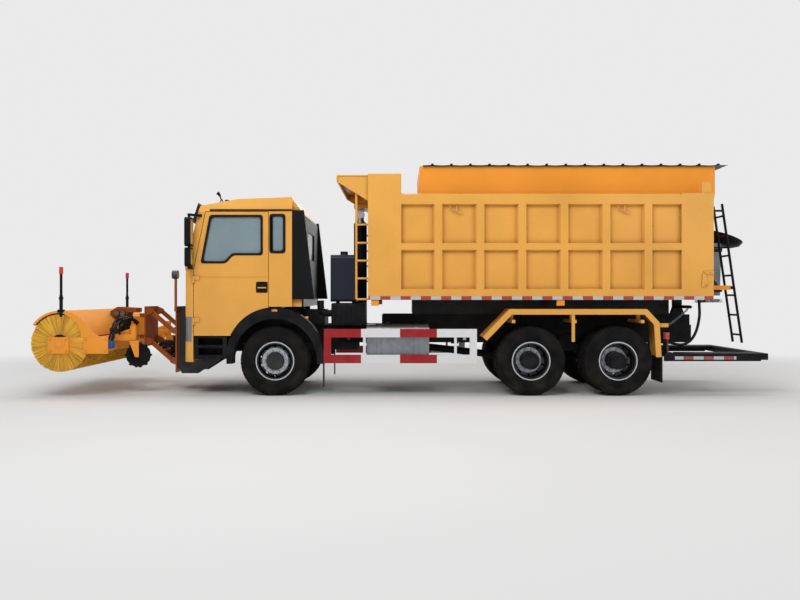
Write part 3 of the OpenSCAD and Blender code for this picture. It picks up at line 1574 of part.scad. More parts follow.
module bed_hose() {
  n = len(hose_route);
  color("black") polyhedron([for (i = [0 : n - 1]) each hose_ring(i)],
    concat([[for (k = [0 : hose_sides - 1]) k]],
      [for (i = [0 : n - 2], k = [0 : hose_sides - 1]) let (m = (k + 1) % hose_sides)
        [i * hose_sides + k, (i + 1) * hose_sides + k, (i + 1) * hose_sides + m,
          i * hose_sides + m]],
      [[for (k = [hose_sides - 1 : -1 : 0]) (n - 1) * hose_sides + k]]));
}

place() chassis_frame();
place() front_axle();
place() rear_axles();
place() engine();
place() tanks();
place() side_guards();
place() underrun_guard();
place() rear_fenders();
place() mud_flaps();
place() cab_shell();
place() cab_front();
place() cab_glass();
place() cab_deflectors();
place() front_fenders();
place() seats();
place() dashboard();
place() mirrors();
place() lamps();
place() oil_tank();
place() hitch_frame();
place() tie_chain();
place() bed_hose();
place() door(1);  // door_left
place() door(-1);  // door_right
place() door_glass(1);  // door_glass_left
place() door_glass(-1);  // door_glass_right
place() knuckle(1);  // knuckle_left
place() knuckle(-1);  // knuckle_right
place() front_tyre(1);  // front_tyre_left
place() front_tyre(-1);  // front_tyre_right
place() front_rim(1);  // front_rim_left
place() front_rim(-1);  // front_rim_right
place() rear_tyres(rear_1_x, 1);  // rear_tyres_1_left
place() rear_tyres(rear_1_x, -1);  // rear_tyres_1_right
place() rear_tyres(rear_2_x, 1);  // rear_tyres_2_left
place() rear_tyres(rear_2_x, -1);  // rear_tyres_2_right
place() rear_rims(rear_1_x, 1);  // rear_rims_1_left
place() rear_rims(rear_1_x, -1);  // rear_rims_1_right
place() rear_rims(rear_2_x, 1);  // rear_rims_2_left
place() rear_rims(rear_2_x, -1);  // rear_rims_2_right
place() bed_body();
place() hopper();
place() hopper_cover();
place() spreader_chute();
place() rear_ladder();
place() spinner();
place() hoist_barrel();
place() hoist_stage(1);  // hoist_stage_1
place() hoist_stage(2);  // hoist_stage_2
place() hoist_rod();  // hoist_stage_3
place() lift_arms();
place() upper_links();
place() broom_carriage();
place() broom_frame();
place() brush();
place() caster_fork(1);  // caster_fork_left
place() caster_fork(-1);  // caster_fork_right
place() caster_wheel(1);  // caster_wheel_left
place() caster_wheel(-1);  // caster_wheel_right
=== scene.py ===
"""Looks of the snow sweeping and gritting truck: finishes, tyres, bristles, seats, cover, hoses and trim.

Lengths are metres in the part's frame: +X forward, +Y to the truck's left, +Z up, ground at zero.
"""

import json
import math
import random

import bmesh
import bpy
from mathutils import Matrix, Vector


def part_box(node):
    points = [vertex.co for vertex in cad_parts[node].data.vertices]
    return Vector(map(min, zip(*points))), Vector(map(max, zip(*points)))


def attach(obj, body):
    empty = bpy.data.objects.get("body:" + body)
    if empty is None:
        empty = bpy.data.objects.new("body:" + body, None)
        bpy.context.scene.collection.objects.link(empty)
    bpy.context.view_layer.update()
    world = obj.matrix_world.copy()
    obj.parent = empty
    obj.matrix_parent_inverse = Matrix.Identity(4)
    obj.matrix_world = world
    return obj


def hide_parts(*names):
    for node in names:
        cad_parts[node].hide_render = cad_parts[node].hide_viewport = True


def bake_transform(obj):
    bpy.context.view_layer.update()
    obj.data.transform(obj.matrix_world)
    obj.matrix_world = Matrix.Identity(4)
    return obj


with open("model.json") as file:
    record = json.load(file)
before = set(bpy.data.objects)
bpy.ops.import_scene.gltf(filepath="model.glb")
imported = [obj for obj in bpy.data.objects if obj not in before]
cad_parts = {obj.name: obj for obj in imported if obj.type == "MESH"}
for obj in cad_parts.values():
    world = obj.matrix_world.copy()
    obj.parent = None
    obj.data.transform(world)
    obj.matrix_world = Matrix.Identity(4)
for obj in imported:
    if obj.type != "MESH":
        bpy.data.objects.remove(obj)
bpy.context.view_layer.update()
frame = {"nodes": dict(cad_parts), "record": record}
NODES = frame["nodes"]
RANDOM = random.Random(7)
SIDES = {"left": 1, "right": -1}


def centre(node):
    low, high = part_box(node)
    return (low + high) / 2


# The front axle is where the places along the truck are measured from
AXLE_X = centre("front_tyre_left").x


def at(x, y, z):
    """A point by its distance ahead of the front axle."""
    return Vector((AXLE_X + x, y, z))


def outwards(sign, *depths):
    """Depths out from the truck's middle on one side, in order along y."""
    return sorted(sign * depth for depth in depths)


# Shapes, each added to a bmesh

def paint_faces(faces, index):
    for face in faces:
        face.material_index = index


def add_faces(bm, points, loops, index=0):
    """Faces over points, given as rows of point numbers."""
    verts = [bm.verts.new(p) for p in points]
    made = [bm.faces.new([verts[i] for i in loop]) for loop in loops]
    paint_faces(made, index)
    return made


BOX_LOOPS = [(0, 2, 3, 1), (4, 5, 7, 6), (0, 1, 5, 4), (2, 6, 7, 3), (0, 4, 6, 2), (1, 3, 7, 5)]


def add_box(bm, low, high, bevel=0.0, index=0):
    """A box between two corners, its edges rounded."""
    low, high = Vector(low), Vector(high)
    points = [Vector((x, y, z)) for x in (low.x, high.x) for y in (low.y, high.y) for z in (low.z, high.z)]
    faces = add_faces(bm, points, BOX_LOOPS, index)
    if bevel:
        edges = list({e for f in faces for e in f.edges})
        made = bmesh.ops.bevel(bm, geom=edges, offset=bevel, segments=2, profile=0.5, affect="EDGES")
        paint_faces(made["faces"], index)


def add_side_box(bm, sign, xs, ys, zs, bevel=0.0):
    """A box on one side of the truck, from its spans ahead of the front axle, outwards and upwards."""
    y0, y1 = outwards(sign, *ys)
    add_box(bm, at(xs[0], y0, zs[0]), at(xs[1], y1, zs[1]), bevel)


def add_pair(bm, *spans):
    """The same box on both sides of the truck."""
    for sign in SIDES.values():
        add_side_box(bm, sign, *spans)


def close_up(bm, faces, index=0):
    """Turns faces outwards and gives them a finish."""
    bmesh.ops.recalc_face_normals(bm, faces=faces)
    paint_faces(faces, index)


def add_rings(bm, rings, closed=False, index=0):
    """A skin from each ring of points to the next, capped at both ends unless it closes on itself."""
    rings = [[bm.verts.new(p) for p in ring] for ring in rings]
    count = len(rings[0])
    faces = []
    for a, b in zip(rings, rings[1:] + (rings[:1] if closed else [])):
        faces += [bm.faces.new((a[k], a[(k + 1) % count], b[(k + 1) % count], b[k])) for k in range(count)]
    if not closed:
        faces += [bm.faces.new(rings[0][::-1]), bm.faces.new(rings[-1])]
    close_up(bm, faces, index)


def add_prism(bm, outline, low, high, plane="xz"):
    """A plate with its outline in the xz or yz plane, between two values on the third axis."""
    order = {"xz": (0, 2, 1), "yz": (2, 0, 1)}[plane]
    add_rings(bm, [[Vector([(a, b, c)[i] for i in order]) for a, b in outline] for c in (low, high)])


def ring_frame(direction):
    """Two directions square to a direction."""
    up = Vector((0, 0, 1)) if abs(direction.z) < 0.9 else Vector((1, 0, 0))
    across = direction.cross(up).normalized()
    return across, across.cross(direction).normalized()


def add_tube(bm, points, radius, sides=12, index=0, loop=False):
    """A round tube along points. The radius is one number, or a list with one for each point."""
    points = [Vector(p) for p in points]
    count = len(points)
    radii = radius if isinstance(radius, list) else [radius] * count
    turns = [2 * math.pi * k / sides for k in range(sides)]
    rings = []
    for i, p in enumerate(points):
        before = points[i - 1] if i or loop else p
        after = points[(i + 1) % count] if i < count - 1 or loop else p
        across, up = ring_frame((after - before).normalized())
        rings.append([p + radii[i] * (math.cos(t) * across + math.sin(t) * up) for t in turns])
    add_rings(bm, rings, loop, index)


def add_lathe(bm, profile, middle, axis="y", steps=48, closed=False):
    """A profile of (radius, place along the axis) turned about an axis through middle."""
    order = {"x": (2, 0, 1), "y": (0, 2, 1), "z": (0, 1, 2)}[axis]
    turns = [2 * math.pi * k / steps for k in range(steps)]
    rings = []
    for r, along in profile:
        places = [(r * math.cos(t), r * math.sin(t), along) for t in turns]
        rings.append([Vector(middle) + Vector([p[i] for i in order]) for p in places])
    add_rings(bm, rings, closed)


def add_bolt(bm, foot, direction, radius, index=0):
    """A hexagon bolt head on a thin washer, standing along a direction."""
    foot, direction = Vector(foot), Vector(direction).normalized()
    add_tube(bm, [foot, foot + direction * radius * 0.3], radius * 1.45, 12, index)
    add_tube(bm, [foot, foot + direction * radius * 1.1], radius, 6, index)


def add_bolt_ring(bm, middle, radius, sign, size, shift=0.0, count=8):
    """Bolts in a ring about a line along y, standing to one side."""
    for i in range(count):
        t = 2 * math.pi * (i + shift) / count
        add_bolt(bm, middle + Vector((radius * math.cos(t), 0, radius * math.sin(t))), (0, sign, 0), size)


def ahead(outline):
    """An outline of (x, z) from the front axle, in the frame."""
    return [(AXLE_X + x, z) for x, z in outline]


def rectangle(a0, a1, b0, b1):
    return [(a0, b0), (a1, b0), (a1, b1), (a0, b1)]


def arc(radius, start, end, steps):
    """Points of an arc about the origin of a plane, angles in degrees."""
    turns = [math.radians(start + (end - start) * i / steps) for i in range(steps + 1)]
    return [(radius * math.cos(t), radius * math.sin(t)) for t in turns]


def rounded(outline, radius, steps=4):
    """An outline with each corner replaced by a short curve."""
    made = []
    count = len(outline)
    for i in range(count):
        before, corner, after = (Vector(outline[k % count]) for k in (i - 1, i, i + 1))
        into = (before - corner).normalized() * min(radius, (before - corner).length / 2)
        out = (after - corner).normalized() * min(radius, (after - corner).length / 2)
        for k in range(steps + 1):
            t = k / steps
            made.append(tuple(corner + into * (1 - t) ** 2 + out * t ** 2))
    return made


def smooth_route(points, per_span=6):
    """A smooth curve through points, with several steps a span."""
    points = [Vector(p) for p in points]
    ends = [2 * points[0] - points[1], *points, 2 * points[-1] - points[-2]]
    made = []
    for a, b, c, d in zip(ends, ends[1:], ends[2:], ends[3:]):
        for k in range(per_span):
            t = k / per_span
            made.append(0.5 * (2 * b + (c - a) * t + (2 * a - 5 * b + 4 * c - d) * t ** 2
                               + (3 * b - a - 3 * c + d) * t ** 3))
    return [*made, points[-1]]


def piece(name, bm, body, slot=None, replaced=(), materials=None, smooth_angle=35):
    """Ends a bmesh as a named piece that rides on a body, in the finish of its slot unless it has its own."""
    mesh = bpy.data.meshes.new(name)
    bm.to_mesh(mesh)
    bm.free()
    obj = bpy.data.objects.new(name, mesh)
    bpy.context.scene.collection.objects.link(obj)
    for material in materials or [LOOKS[slot]]:
        mesh.materials.append(material)
    mesh.shade_smooth()
    mesh.set_sharp_from_angle(angle=math.radians(smooth_angle))
    if body:
        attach(obj, body)
    if replaced:
        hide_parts(*replaced)
    return obj


# Materials

class Look:
    """A material being made: its nodes end in one shader, and its patterns follow the part's own frame."""

    def __init__(self, name, roughness, metallic=0.0, **sockets):
        self.material = bpy.data.materials.new(name)
        self.material.use_nodes = True
        self.tree = self.material.node_tree
        self.shader = self.tree.nodes["Principled BSDF"]
        self.place = self.node("ShaderNodeTexCoord").outputs["Object"]
        self.set("Roughness", roughness)
        self.set("Metallic", metallic)
        for socket, value in sockets.items():
            self.set(socket.replace("_", " ").capitalize(), value)

    def node(self, kind, inputs=(), **values):
        """A node with its inputs fed by (name or number, value) pairs."""
        made = self.tree.nodes.new(kind)
        for key, value in values.items():
            setattr(made, key, value)
        for key, value in inputs:
            self.feed(made.inputs[key], value)
        return made

    def feed(self, socket, value):
        """Links an output to a socket, or sets a plain value on it."""
        if isinstance(value, bpy.types.NodeSocket):
            self.tree.links.new(value, socket)
        elif isinstance(value, tuple):
            socket.default_value = (*value, 1)
        else:
            socket.default_value = value

    def set(self, name, value):
        socket = next(s for s in self.shader.inputs if s.name.lower() == name.lower())
        self.feed(socket, value)

    def noise(self, scale, detail=3.0, stretch=None):
        place = self.place
        if stretch:
            mapping = self.node("ShaderNodeMapping", [("Scale", Vector(stretch)), ("Vector", place)])
            place = mapping.outputs["Vector"]
        made = self.node("ShaderNodeTexNoise", [("Vector", place), ("Scale", scale), ("Detail", detail)])
        return made.outputs["Fac"]

    def spread(self, value, *ranges):
        """A value moved from one range to another, and kept inside it."""
        ends = zip(("From Min", "From Max", "To Min", "To Max"), ranges)
        return self.node("ShaderNodeMapRange", [*ends, ("Value", value)]).outputs["Result"]

    def patches(self, scale, detail, *ranges):
        """Noise moved from one range to another."""
        return self.spread(self.noise(scale, detail), *ranges)

    def waves(self, direction, scale):
        """Even waves along a direction."""
        inputs = [("Vector", self.place), ("Scale", scale)]
        return self.node("ShaderNodeTexWave", inputs, wave_type="BANDS", bands_direction=direction).outputs["Fac"]

    def away(self, **line):
        """Distance from a line that is given by its places on two axes."""
        squares = [self.math("POWER", self.math("SUBTRACT", self.axis(name), place), 2.0)
                   for name, place in line.items()]
        return self.math("SQRT", self.math("ADD", *squares))

    def math(self, operation, a, b=0.0):
        return self.node("ShaderNodeMath", [(0, a), (1, b)], operation=operation).outputs["Value"]

    def axis(self, name):
        return self.node("ShaderNodeSeparateXYZ", [("Vector", self.place)]).outputs[name]

    def mix(self, share, a, b):
        return self.node("ShaderNodeMix", [(0, share), (6, a), (7, b)], data_type="RGBA").outputs[2]

    def corners(self, distance, low=0.0):
        """An occlusion mask for painted shade: one in the open, and down to a low value in corners and gaps."""
        made = self.node("ShaderNodeAmbientOcclusion", [("Distance", distance)], samples=4)
        return self.spread(made.outputs["AO"], 0.35, 0.95, low, 1.0)

    def bump(self, *layers):
        """Bumps from (height, strength, depth) layers, one over the other."""
        normal = None
        for height, strength, depth in layers:
            made = self.node("ShaderNodeBump", [("Strength", strength), ("Distance", depth), ("Height", height)])
            if normal is not None:
                self.feed(made.inputs["Normal"], normal)
            normal = made.outputs["Normal"]
        self.set("Normal", normal)


def shade(colour, factor):
    return tuple(min(1.0, c * factor) for c in colour)


DUST = (0.44, 0.38, 0.29)
DUST_TOP = 1.7


def dusted(look, colour, share):
    """Road dust in patches, thickest near the ground."""
    low = look.spread(look.axis("Z"), 0.2, DUST_TOP, 1.0, 0.0)
    patches = look.patches(5.0, 6.0, 0.42, 0.72, 0.0, 1.0)
    return look.mix(look.math("MULTIPLY", look.math("MULTIPLY", low, patches), share), colour, DUST)


def paint(name, colour, roughness=0.3, dust=0.1, coat=0.05, shine=0.12, black=None):
    """Sprayed sheet metal: slow changes of tone, painted shade in the corners, orange peel and slightly wavy panels.

    black is (axis, comparison, edge) and tells where the paint is black instead.
    """
    look = Look(name, roughness, coat_weight=coat, coat_roughness=0.12, specular_ior_level=shine)
    tone = look.mix(look.patches(1.3, 4.0, 0.3, 0.7, 0.0, 1.0), shade(colour, 0.93), shade(colour, 1.05))
    # Painted shade: corners and gaps darken to 0.45 of the colour, from the occlusion mask.
    corner_shaded = look.mix(look.corners(0.09, 0.15), shade(colour, 0.45), tone)
    if black:
        axis_name, comparison, edge = black
        corner_shaded = look.mix(look.math(comparison, look.axis(axis_name), edge), corner_shaded, BLACK)
    look.set("Base color", dusted(look, corner_shaded, dust))
    look.set("Roughness", look.patches(9.0, 5.0, 0.3, 0.7, roughness - 0.05, roughness + 0.1))
    look.bump((look.noise(2.6, 2.0), 0.25, 0.012), (look.noise(420.0, 1.0), 0.05, 0.001))
    return look.material


def moulded(name, colour, roughness=0.5, grain=900.0, dust=0.07):
    """Moulded plastic or rubber: a fine grain, faded patches and dust."""
    look = Look(name, roughness, specular_ior_level=0.08)
    tone = look.mix(look.patches(3.0, 4.0, 0.35, 0.7, 0.0, 1.0), shade(colour, 0.85), shade(colour, 1.15))
    look.set("Base color", dusted(look, tone, dust))
    look.set("Roughness", look.patches(14.0, 4.0, 0.3, 0.7, roughness - 0.08, roughness + 0.12))
    look.bump((look.noise(grain, 2.0), 0.18, 0.001))
    return look.material


def tyre_rubber(name):
    """Tyre rubber: browned by the road, with a fine grain."""
    colour = (0.006, 0.006, 0.007)
    look = Look(name, 0.78, specular_ior_level=0.06)
    tone = look.mix(look.patches(4.0, 6.0, 0.4, 0.7, 0.0, 1.0), colour, (0.012, 0.0115, 0.011))
    look.set("Base color", dusted(look, tone, 0.04))
    look.set("Roughness", look.patches(20.0, 4.0, 0.3, 0.7, 0.62, 0.86))
    look.bump((look.noise(260.0, 3.0), 0.2, 0.001))
    return look.material


def bare_metal(name, colour, roughness, stretch=None, scratch=90.0, dust=0.08, metallic=1.0):
    """Bare or silvered metal: brushed streaks, stains, dust and painted shade in corners."""
    look = Look(name, roughness, metallic)
    stain = look.patches(6.0, 6.0, 0.4, 0.75, 0.0, 1.0)
    streaks = look.noise(scratch, 3.0, stretch)
    tone = look.mix(look.math("MULTIPLY", stain, 0.6), colour, shade(colour, 0.6))
    # Painted shade: corners and gaps darken to 0.3 of the colour, from the occlusion mask.
    look.set("Base color", dusted(look, look.mix(look.corners(0.05, 0.2), shade(colour, 0.3), tone), dust))
    look.set("Roughness", look.spread(streaks, 0.3, 0.7, roughness - 0.08, roughness + 0.14))
    look.bump((streaks, 0.08, 0.001), (look.noise(11.0, 3.0), 0.1, 0.002))
    return look.material


def cast_metal(name, colour):
    """Rough castings: sand texture, oil stains and a little rust."""
    look = Look(name, 0.62, 0.35)
    rust = look.patches(7.0, 8.0, 0.56, 0.72, 0.0, 0.7)
    look.set("Base color", dusted(look, look.mix(rust, colour, (0.05, 0.03, 0.02)), 0.08))
    look.bump((look.noise(240.0, 4.0), 0.4, 0.002))
    return look.material


def window_glass(name, tint, alpha):
    """Tinted glass that shows the inside faintly, with a film of dust."""
    look = Look(name, 0.04, alpha=alpha, coat_weight=0.4)
    film = look.patches(3.0, 5.0, 0.45, 0.8, 0.0, 0.35)
    look.set("Base color", look.mix(film, tint, shade(tint, 1.35)))
    look.set("Roughness", look.patches(7.0, 4.0, 0.4, 0.8, 0.03, 0.12))
    return look.material


def lens(name, colour):
    """A moulded lamp lens: fine flutes under a glossy face."""
    look = Look(name, 0.08, coat_weight=0.8)
    flutes = look.waves("Z", 40.0)
    look.set("Base color", look.mix(flutes, shade(colour, 0.65), colour))
    look.bump((flutes, 0.3, 0.002))
    return look.material


def woven(name, colour, thread, roughness=0.85, sheen=0.3):
    """Woven cloth: crossing threads, worn lighter in patches."""
    look = Look(name, roughness, sheen_weight=sheen)
    weave = look.math("MULTIPLY", look.waves("DIAGONAL", thread), look.waves("Z", thread))
    worn = look.patches(6.0, 5.0, 0.4, 0.7, 0.0, 1.0)
    look.set("Base color", look.mix(weave, shade(colour, 0.6), look.mix(worn, colour, shade(colour, 1.5))))
    look.bump((weave, 0.35, 0.001), (look.noise(35.0, 3.0), 0.15, 0.003))
    return look.material


def bristle_look(name):
    """Nylon bristles: each bundle its own tone from amber to straw, darker towards its foot as painted shade among the
    crowded bundles.
    """
    look = Look(name, 0.48, sheen_weight=0.2)
    tuft = look.node("ShaderNodeAttribute", attribute_name="tone", attribute_type="GEOMETRY")
    tone = look.mix(tuft.outputs["Fac"], (0.36, 0.14, 0.006), (1.0, 0.56, 0.02))
    look.set("Base color", dusted(look, tone, 0.08))
    look.bump((look.noise(300.0, 2.0), 0.2, 0.001))
    return look.material


def banded(name, first, second, split_axis, edges, roughness=0.3):
    """Two colours in blocks along an axis, which change at each edge, with painted shade in corners."""
    look = Look(name, roughness, coat_weight=0.12, specular_ior_level=0.25)
    place = look.axis(split_axis)
    share = 0.0
    for i, edge in enumerate(edges):
        share = look.math("SUBTRACT" if i % 2 else "ADD", share, look.math("GREATER_THAN", place, edge))
    tone = look.mix(share, first, second)
    # Painted shade: corners and gaps darken to 0.4 of the first colour, from the occlusion mask.
    corner_shaded = look.mix(look.corners(0.06, 0.2), shade(first, 0.4), tone)
    look.set("Base color", dusted(look, corner_shaded, 0.07))
    look.bump((look.noise(420.0, 1.0), 0.05, 0.001))
    return look.material


def striped(name, first, second, start, pitch):
    """Retroreflective tape: two colours by turns along the truck, over small cells."""
    look = Look(name, 0.32, coat_weight=0.6)
    turns = look.math("DIVIDE", look.math("SUBTRACT", look.axis("X"), start), pitch)
    share = look.math("GREATER_THAN", look.math("FRACT", turns), 0.5)
    cells = look.node("ShaderNodeTexVoronoi", [("Vector", look.place), ("Scale", 220.0)], feature="DISTANCE_TO_EDGE")
    edge = look.spread(cells.outputs["Distance"], 0.0, 0.1, 0.75, 1.0)
    tone = look.mix(share, first, second)
    look.set("Base color", dusted(look, look.mix(edge, shade(first, 0.5), tone), 0.25))
    look.bump((edge, 0.2, 0.001))
    return look.material


# Colours are linear
YELLOW = (0.80, 0.395, 0.08)
ORANGE = (0.92, 0.345, 0.045)
# The broom's orange darkened as painted shade, for the hitch and linkage in the cab's shadow
SHADED_ORANGE = (0.33, 0.085, 0.016)
BLACK = (0.007, 0.0075, 0.009)
CHASSIS_BLACK = (0.008, 0.009, 0.011)
WHITE = (0.74, 0.75, 0.77)
RED = (0.33, 0.006, 0.011)
TAPE_WHITE = (0.5, 0.51, 0.52)

# Where the side guards change between red and white, ahead of the front axle
GUARD_EDGES = [AXLE_X + x for x in (-2.513, -1.941, -1.339)]
# One red and one white block of tape, and where a white block starts
TAPE_PITCH = 0.313
TAPE_START = AXLE_X - 1.95


LOOKS = {
    "yellow_paint": paint("yellow_paint", YELLOW),
    "orange_paint": paint("orange_paint", ORANGE, 0.5, coat=0.0, shine=0.05),
    "black_plastic": moulded("black_plastic", BLACK, 0.42),
    "chassis_black": paint("chassis_black", CHASSIS_BLACK, 0.5, 0.05, 0.0, shine=0.07),
    "tyre": tyre_rubber("tyre_rubber"),
    "rim_silver": bare_metal("rim_silver", (0.14, 0.155, 0.17), 0.42, dust=0.05, metallic=0.9),
    "glass": window_glass("window_glass", (0.25, 0.34, 0.38), 0.7),
    "lamp": lens("clear_lens", (0.62, 0.66, 0.7)),
    "aluminium": bare_metal("aluminium", (0.25, 0.265, 0.29), 0.35, (1, 40, 1), 14.0),
    "navy_paint": paint("navy_paint", (0.006, 0.01, 0.022), 0.4, 0.04, 0.08, shine=0.2),
    "steel": bare_metal("steel", (0.56, 0.57, 0.58), 0.25, (40, 1, 40), 12.0),
    "bristle": bristle_look("bristle"),
    "rubber": moulded("rubber", (0.012, 0.012, 0.013), 0.5, 500.0),
    "seat_fabric": woven("seat_fabric", (0.035, 0.037, 0.043), 420.0),
    "cover_fabric": woven("cover_fabric", (0.016, 0.017, 0.019), 300.0, 0.6, 0.1),
    "cast_iron": cast_metal("cast_iron", (0.016, 0.016, 0.018)),
    "guard_paint": banded("guard_paint", WHITE, RED, "X", GUARD_EDGES),
    "zinc_steel": bare_metal("zinc_steel", (0.13, 0.14, 0.155), 0.45, dust=0.12),
}
AMBER_LENS = lens("amber_lens", (0.75, 0.22, 0.01))
MIRROR = bare_metal("mirror_glass", (0.75, 0.78, 0.8), 0.1, dust=0.05)
TAPE = striped("reflective_tape", TAPE_WHITE, RED, TAPE_START, TAPE_PITCH)
BLUE = paint("blue_paint", (0.02, 0.12, 0.42), 0.35)
MARKER_RED = paint("marker_red", (0.62, 0.05, 0.07), 0.35)
# Painted shade: the linkage takes the darkened orange
LINKAGE = paint("linkage_shaded_paint", SHADED_ORANGE, 0.6, coat=0.0, shine=0.04)
BLACK_GLOSS = moulded("black_gloss", (0.008, 0.008, 0.009), 0.2, 300.0, 0.15)

# Where finishes meet: the bed is black below its floor, the cab on its back wall, and the hitch behind the tower
BED_UNDERSIDE = 1.486
CAB_BACK_X = AXLE_X - 0.41
HITCH_BLACK_X = AXLE_X + 1.69
# The tail lamps' brackets are black up to this height, and the work lamps ahead of this place
TAIL_BRACKET_TOP = 0.878
WORK_LAMP_X = AXLE_X + 1.6
TAIL_RED = (0.5, 0.012, 0.012)
HEAD_CLEAR = (0.2, 0.215, 0.23)
# Rims, with their axles' places from the front axle
RIMS = {"front_rim": 0.0, "rear_rims_1": -3.975, "rear_rims_2": -5.325}
AXLE_Z = 0.54
# Where a wheel's finish changes, out from its axle: hub, polished disc, dark well painted as shadow in the dish,
# polished lip
WHEEL_DARK = (0.03, 0.032, 0.035)
# The dark ring from 0.245 to 0.283 is a painted shadow inside the dish; the dark hub is its own colour.
WHEEL_EDGES = [(0.14, (0.42, 0.44, 0.47)), (0.245, WHEEL_DARK), (0.283, (0.5, 0.52, 0.55))]


def wheel_look(name, axle_x):
    """A wheel in rings about its axle: dark hub, polished disc, a dark well painted as shadow in the dish, polished
    lip, and painted shade in corners.
    """
    look = Look(name, 0.36, 0.9)
    away = look.away(X=axle_x, Z=AXLE_Z)
    tone = WHEEL_DARK
    for edge, colour in WHEEL_EDGES:
        tone = look.mix(look.math("GREATER_THAN", away, edge), tone, colour)
    # Painted shade: corners and gaps go near black, from the occlusion mask.
    look.set("Base color", dusted(look, look.mix(look.corners(0.04, 0.2), (0.02, 0.02, 0.02), tone), 0.06))
    look.set("Roughness", look.patches(18.0, 4.0, 0.3, 0.7, 0.3, 0.5))
    return look.material


def lamp_look(name):
    """Lamps: red at the back of the truck, clear in the cab's front, black for brackets and work lamps."""
    look = Look(name, 0.1, coat_weight=0.7)
    flutes = look.waves("Z", 30.0)
    x = look.axis("X")
    tone = look.mix(look.math("GREATER_THAN", x, 0.0), TAIL_RED, HEAD_CLEAR)
    tone = look.mix(look.math("GREATER_THAN", x, WORK_LAMP_X), tone, BLACK)
    bracket = look.math("LESS_THAN", look.axis("Z"), TAIL_BRACKET_TOP)
    tone = look.mix(look.math("MULTIPLY", bracket, look.math("LESS_THAN", x, 0.0)), tone, BLACK)
    look.set("Base color", look.mix(flutes, look.mix(0.4, tone, BLACK), tone))
    look.bump((flutes, 0.3, 0.002))
    return look.material


def dress(material, *nodes):
    """Gives nodes a finish of their own."""
    for node in nodes:
        NODES[node].data.materials[0] = material


def finish_nodes():
    """Gives every carried-over solid the finish of its slot, or its own."""
    for part in frame["record"]["subparts"]:
        slots = NODES[part["node"]].data.materials
        slots.clear()
        slots.append(LOOKS[part["material_slot"]])
    # The hitch's orange half and the linkage are darkened orange, painted shade of the cab
    dress(banded("hitch_frame_paint", CHASSIS_BLACK, SHADED_ORANGE, "X", [HITCH_BLACK_X], 0.35), "hitch_frame")
    dress(LINKAGE, "lift_arms", "upper_links", "broom_carriage")
    dress(LOOKS["orange_paint"], "caster_fork_left", "caster_fork_right")
    dress(lamp_look("lamp_lenses"), "lamps")
    dress(paint("bed_paint", YELLOW, black=("Z", "LESS_THAN", BED_UNDERSIDE)), "bed_body")
    dress(paint("cab_paint", YELLOW, black=("X", "LESS_THAN", CAB_BACK_X)), "cab_shell")
    for name, x in RIMS.items():
        dress(wheel_look(name + "_paint", AXLE_X + x), name + "_left", name + "_right")
    for obj in NODES.values():
        obj.data.shade_smooth()
        obj.data.set_sharp_from_angle(angle=math.radians(30))


# Camera at the photograph's place: level, square to the truck's left side
PHOTO_W = 800
PIXELS_PER_METRE = 64.7
NEAR_SIDE_Y = 1.25
CAMERA_AWAY = 13.0
CAMERA_X = AXLE_X - 1.941
CAMERA_Z = 1.53
HORIZON_SHIFT = -2.7 / PHOTO_W
SENSOR = 36.0


def make_camera():
    data = bpy.data.cameras.new("camera")
    data.sensor_width = SENSOR
    data.lens = SENSOR * PIXELS_PER_METRE * CAMERA_AWAY / PHOTO_W
    data.shift_y = HORIZON_SHIFT
    data.clip_end = 200.0
    camera = bpy.data.objects.new("camera", data)
    camera.location = (CAMERA_X, NEAR_SIDE_Y + CAMERA_AWAY, CAMERA_Z)
    camera.rotation_euler = (math.radians(90), 0, math.radians(180))
    bpy.context.scene.collection.objects.link(camera)
    bpy.context.scene.camera = camera


# Studio: a pale floor, an even sky and large soft lamps
BACKGROUND = 0.823
SKY_STRENGTH = 0.36
# Lamps: name, place, aimed at, width, length, power
LAMPS = [
    ("key_lamp", (3.0, 10.0, 9.0), (0.0, 0.0, 1.5), 7.0, 4.0, 640.0),
    ("fill_lamp", (-8.0, 9.0, 5.0), (-2.0, 0.0, 1.5), 6.0, 5.0, 180.0),
    ("top_lamp", (0.0, 0.0, 11.0), (0.0, 0.0, 0.0), 14.0, 5.0, 380.0),
    ("back_lamp", (1.0, -10.0, 7.0), (0.0, 0.0, 1.5), 9.0, 5.0, 240.0),
    ("front_lamp", (12.0, 0.0, 5.0), (3.0, 0.0, 1.5), 5.0, 5.0, 170.0),
    ("rear_lamp", (-12.0, 0.0, 5.0), (-4.0, 0.0, 1.5), 5.0, 5.0, 170.0),
]


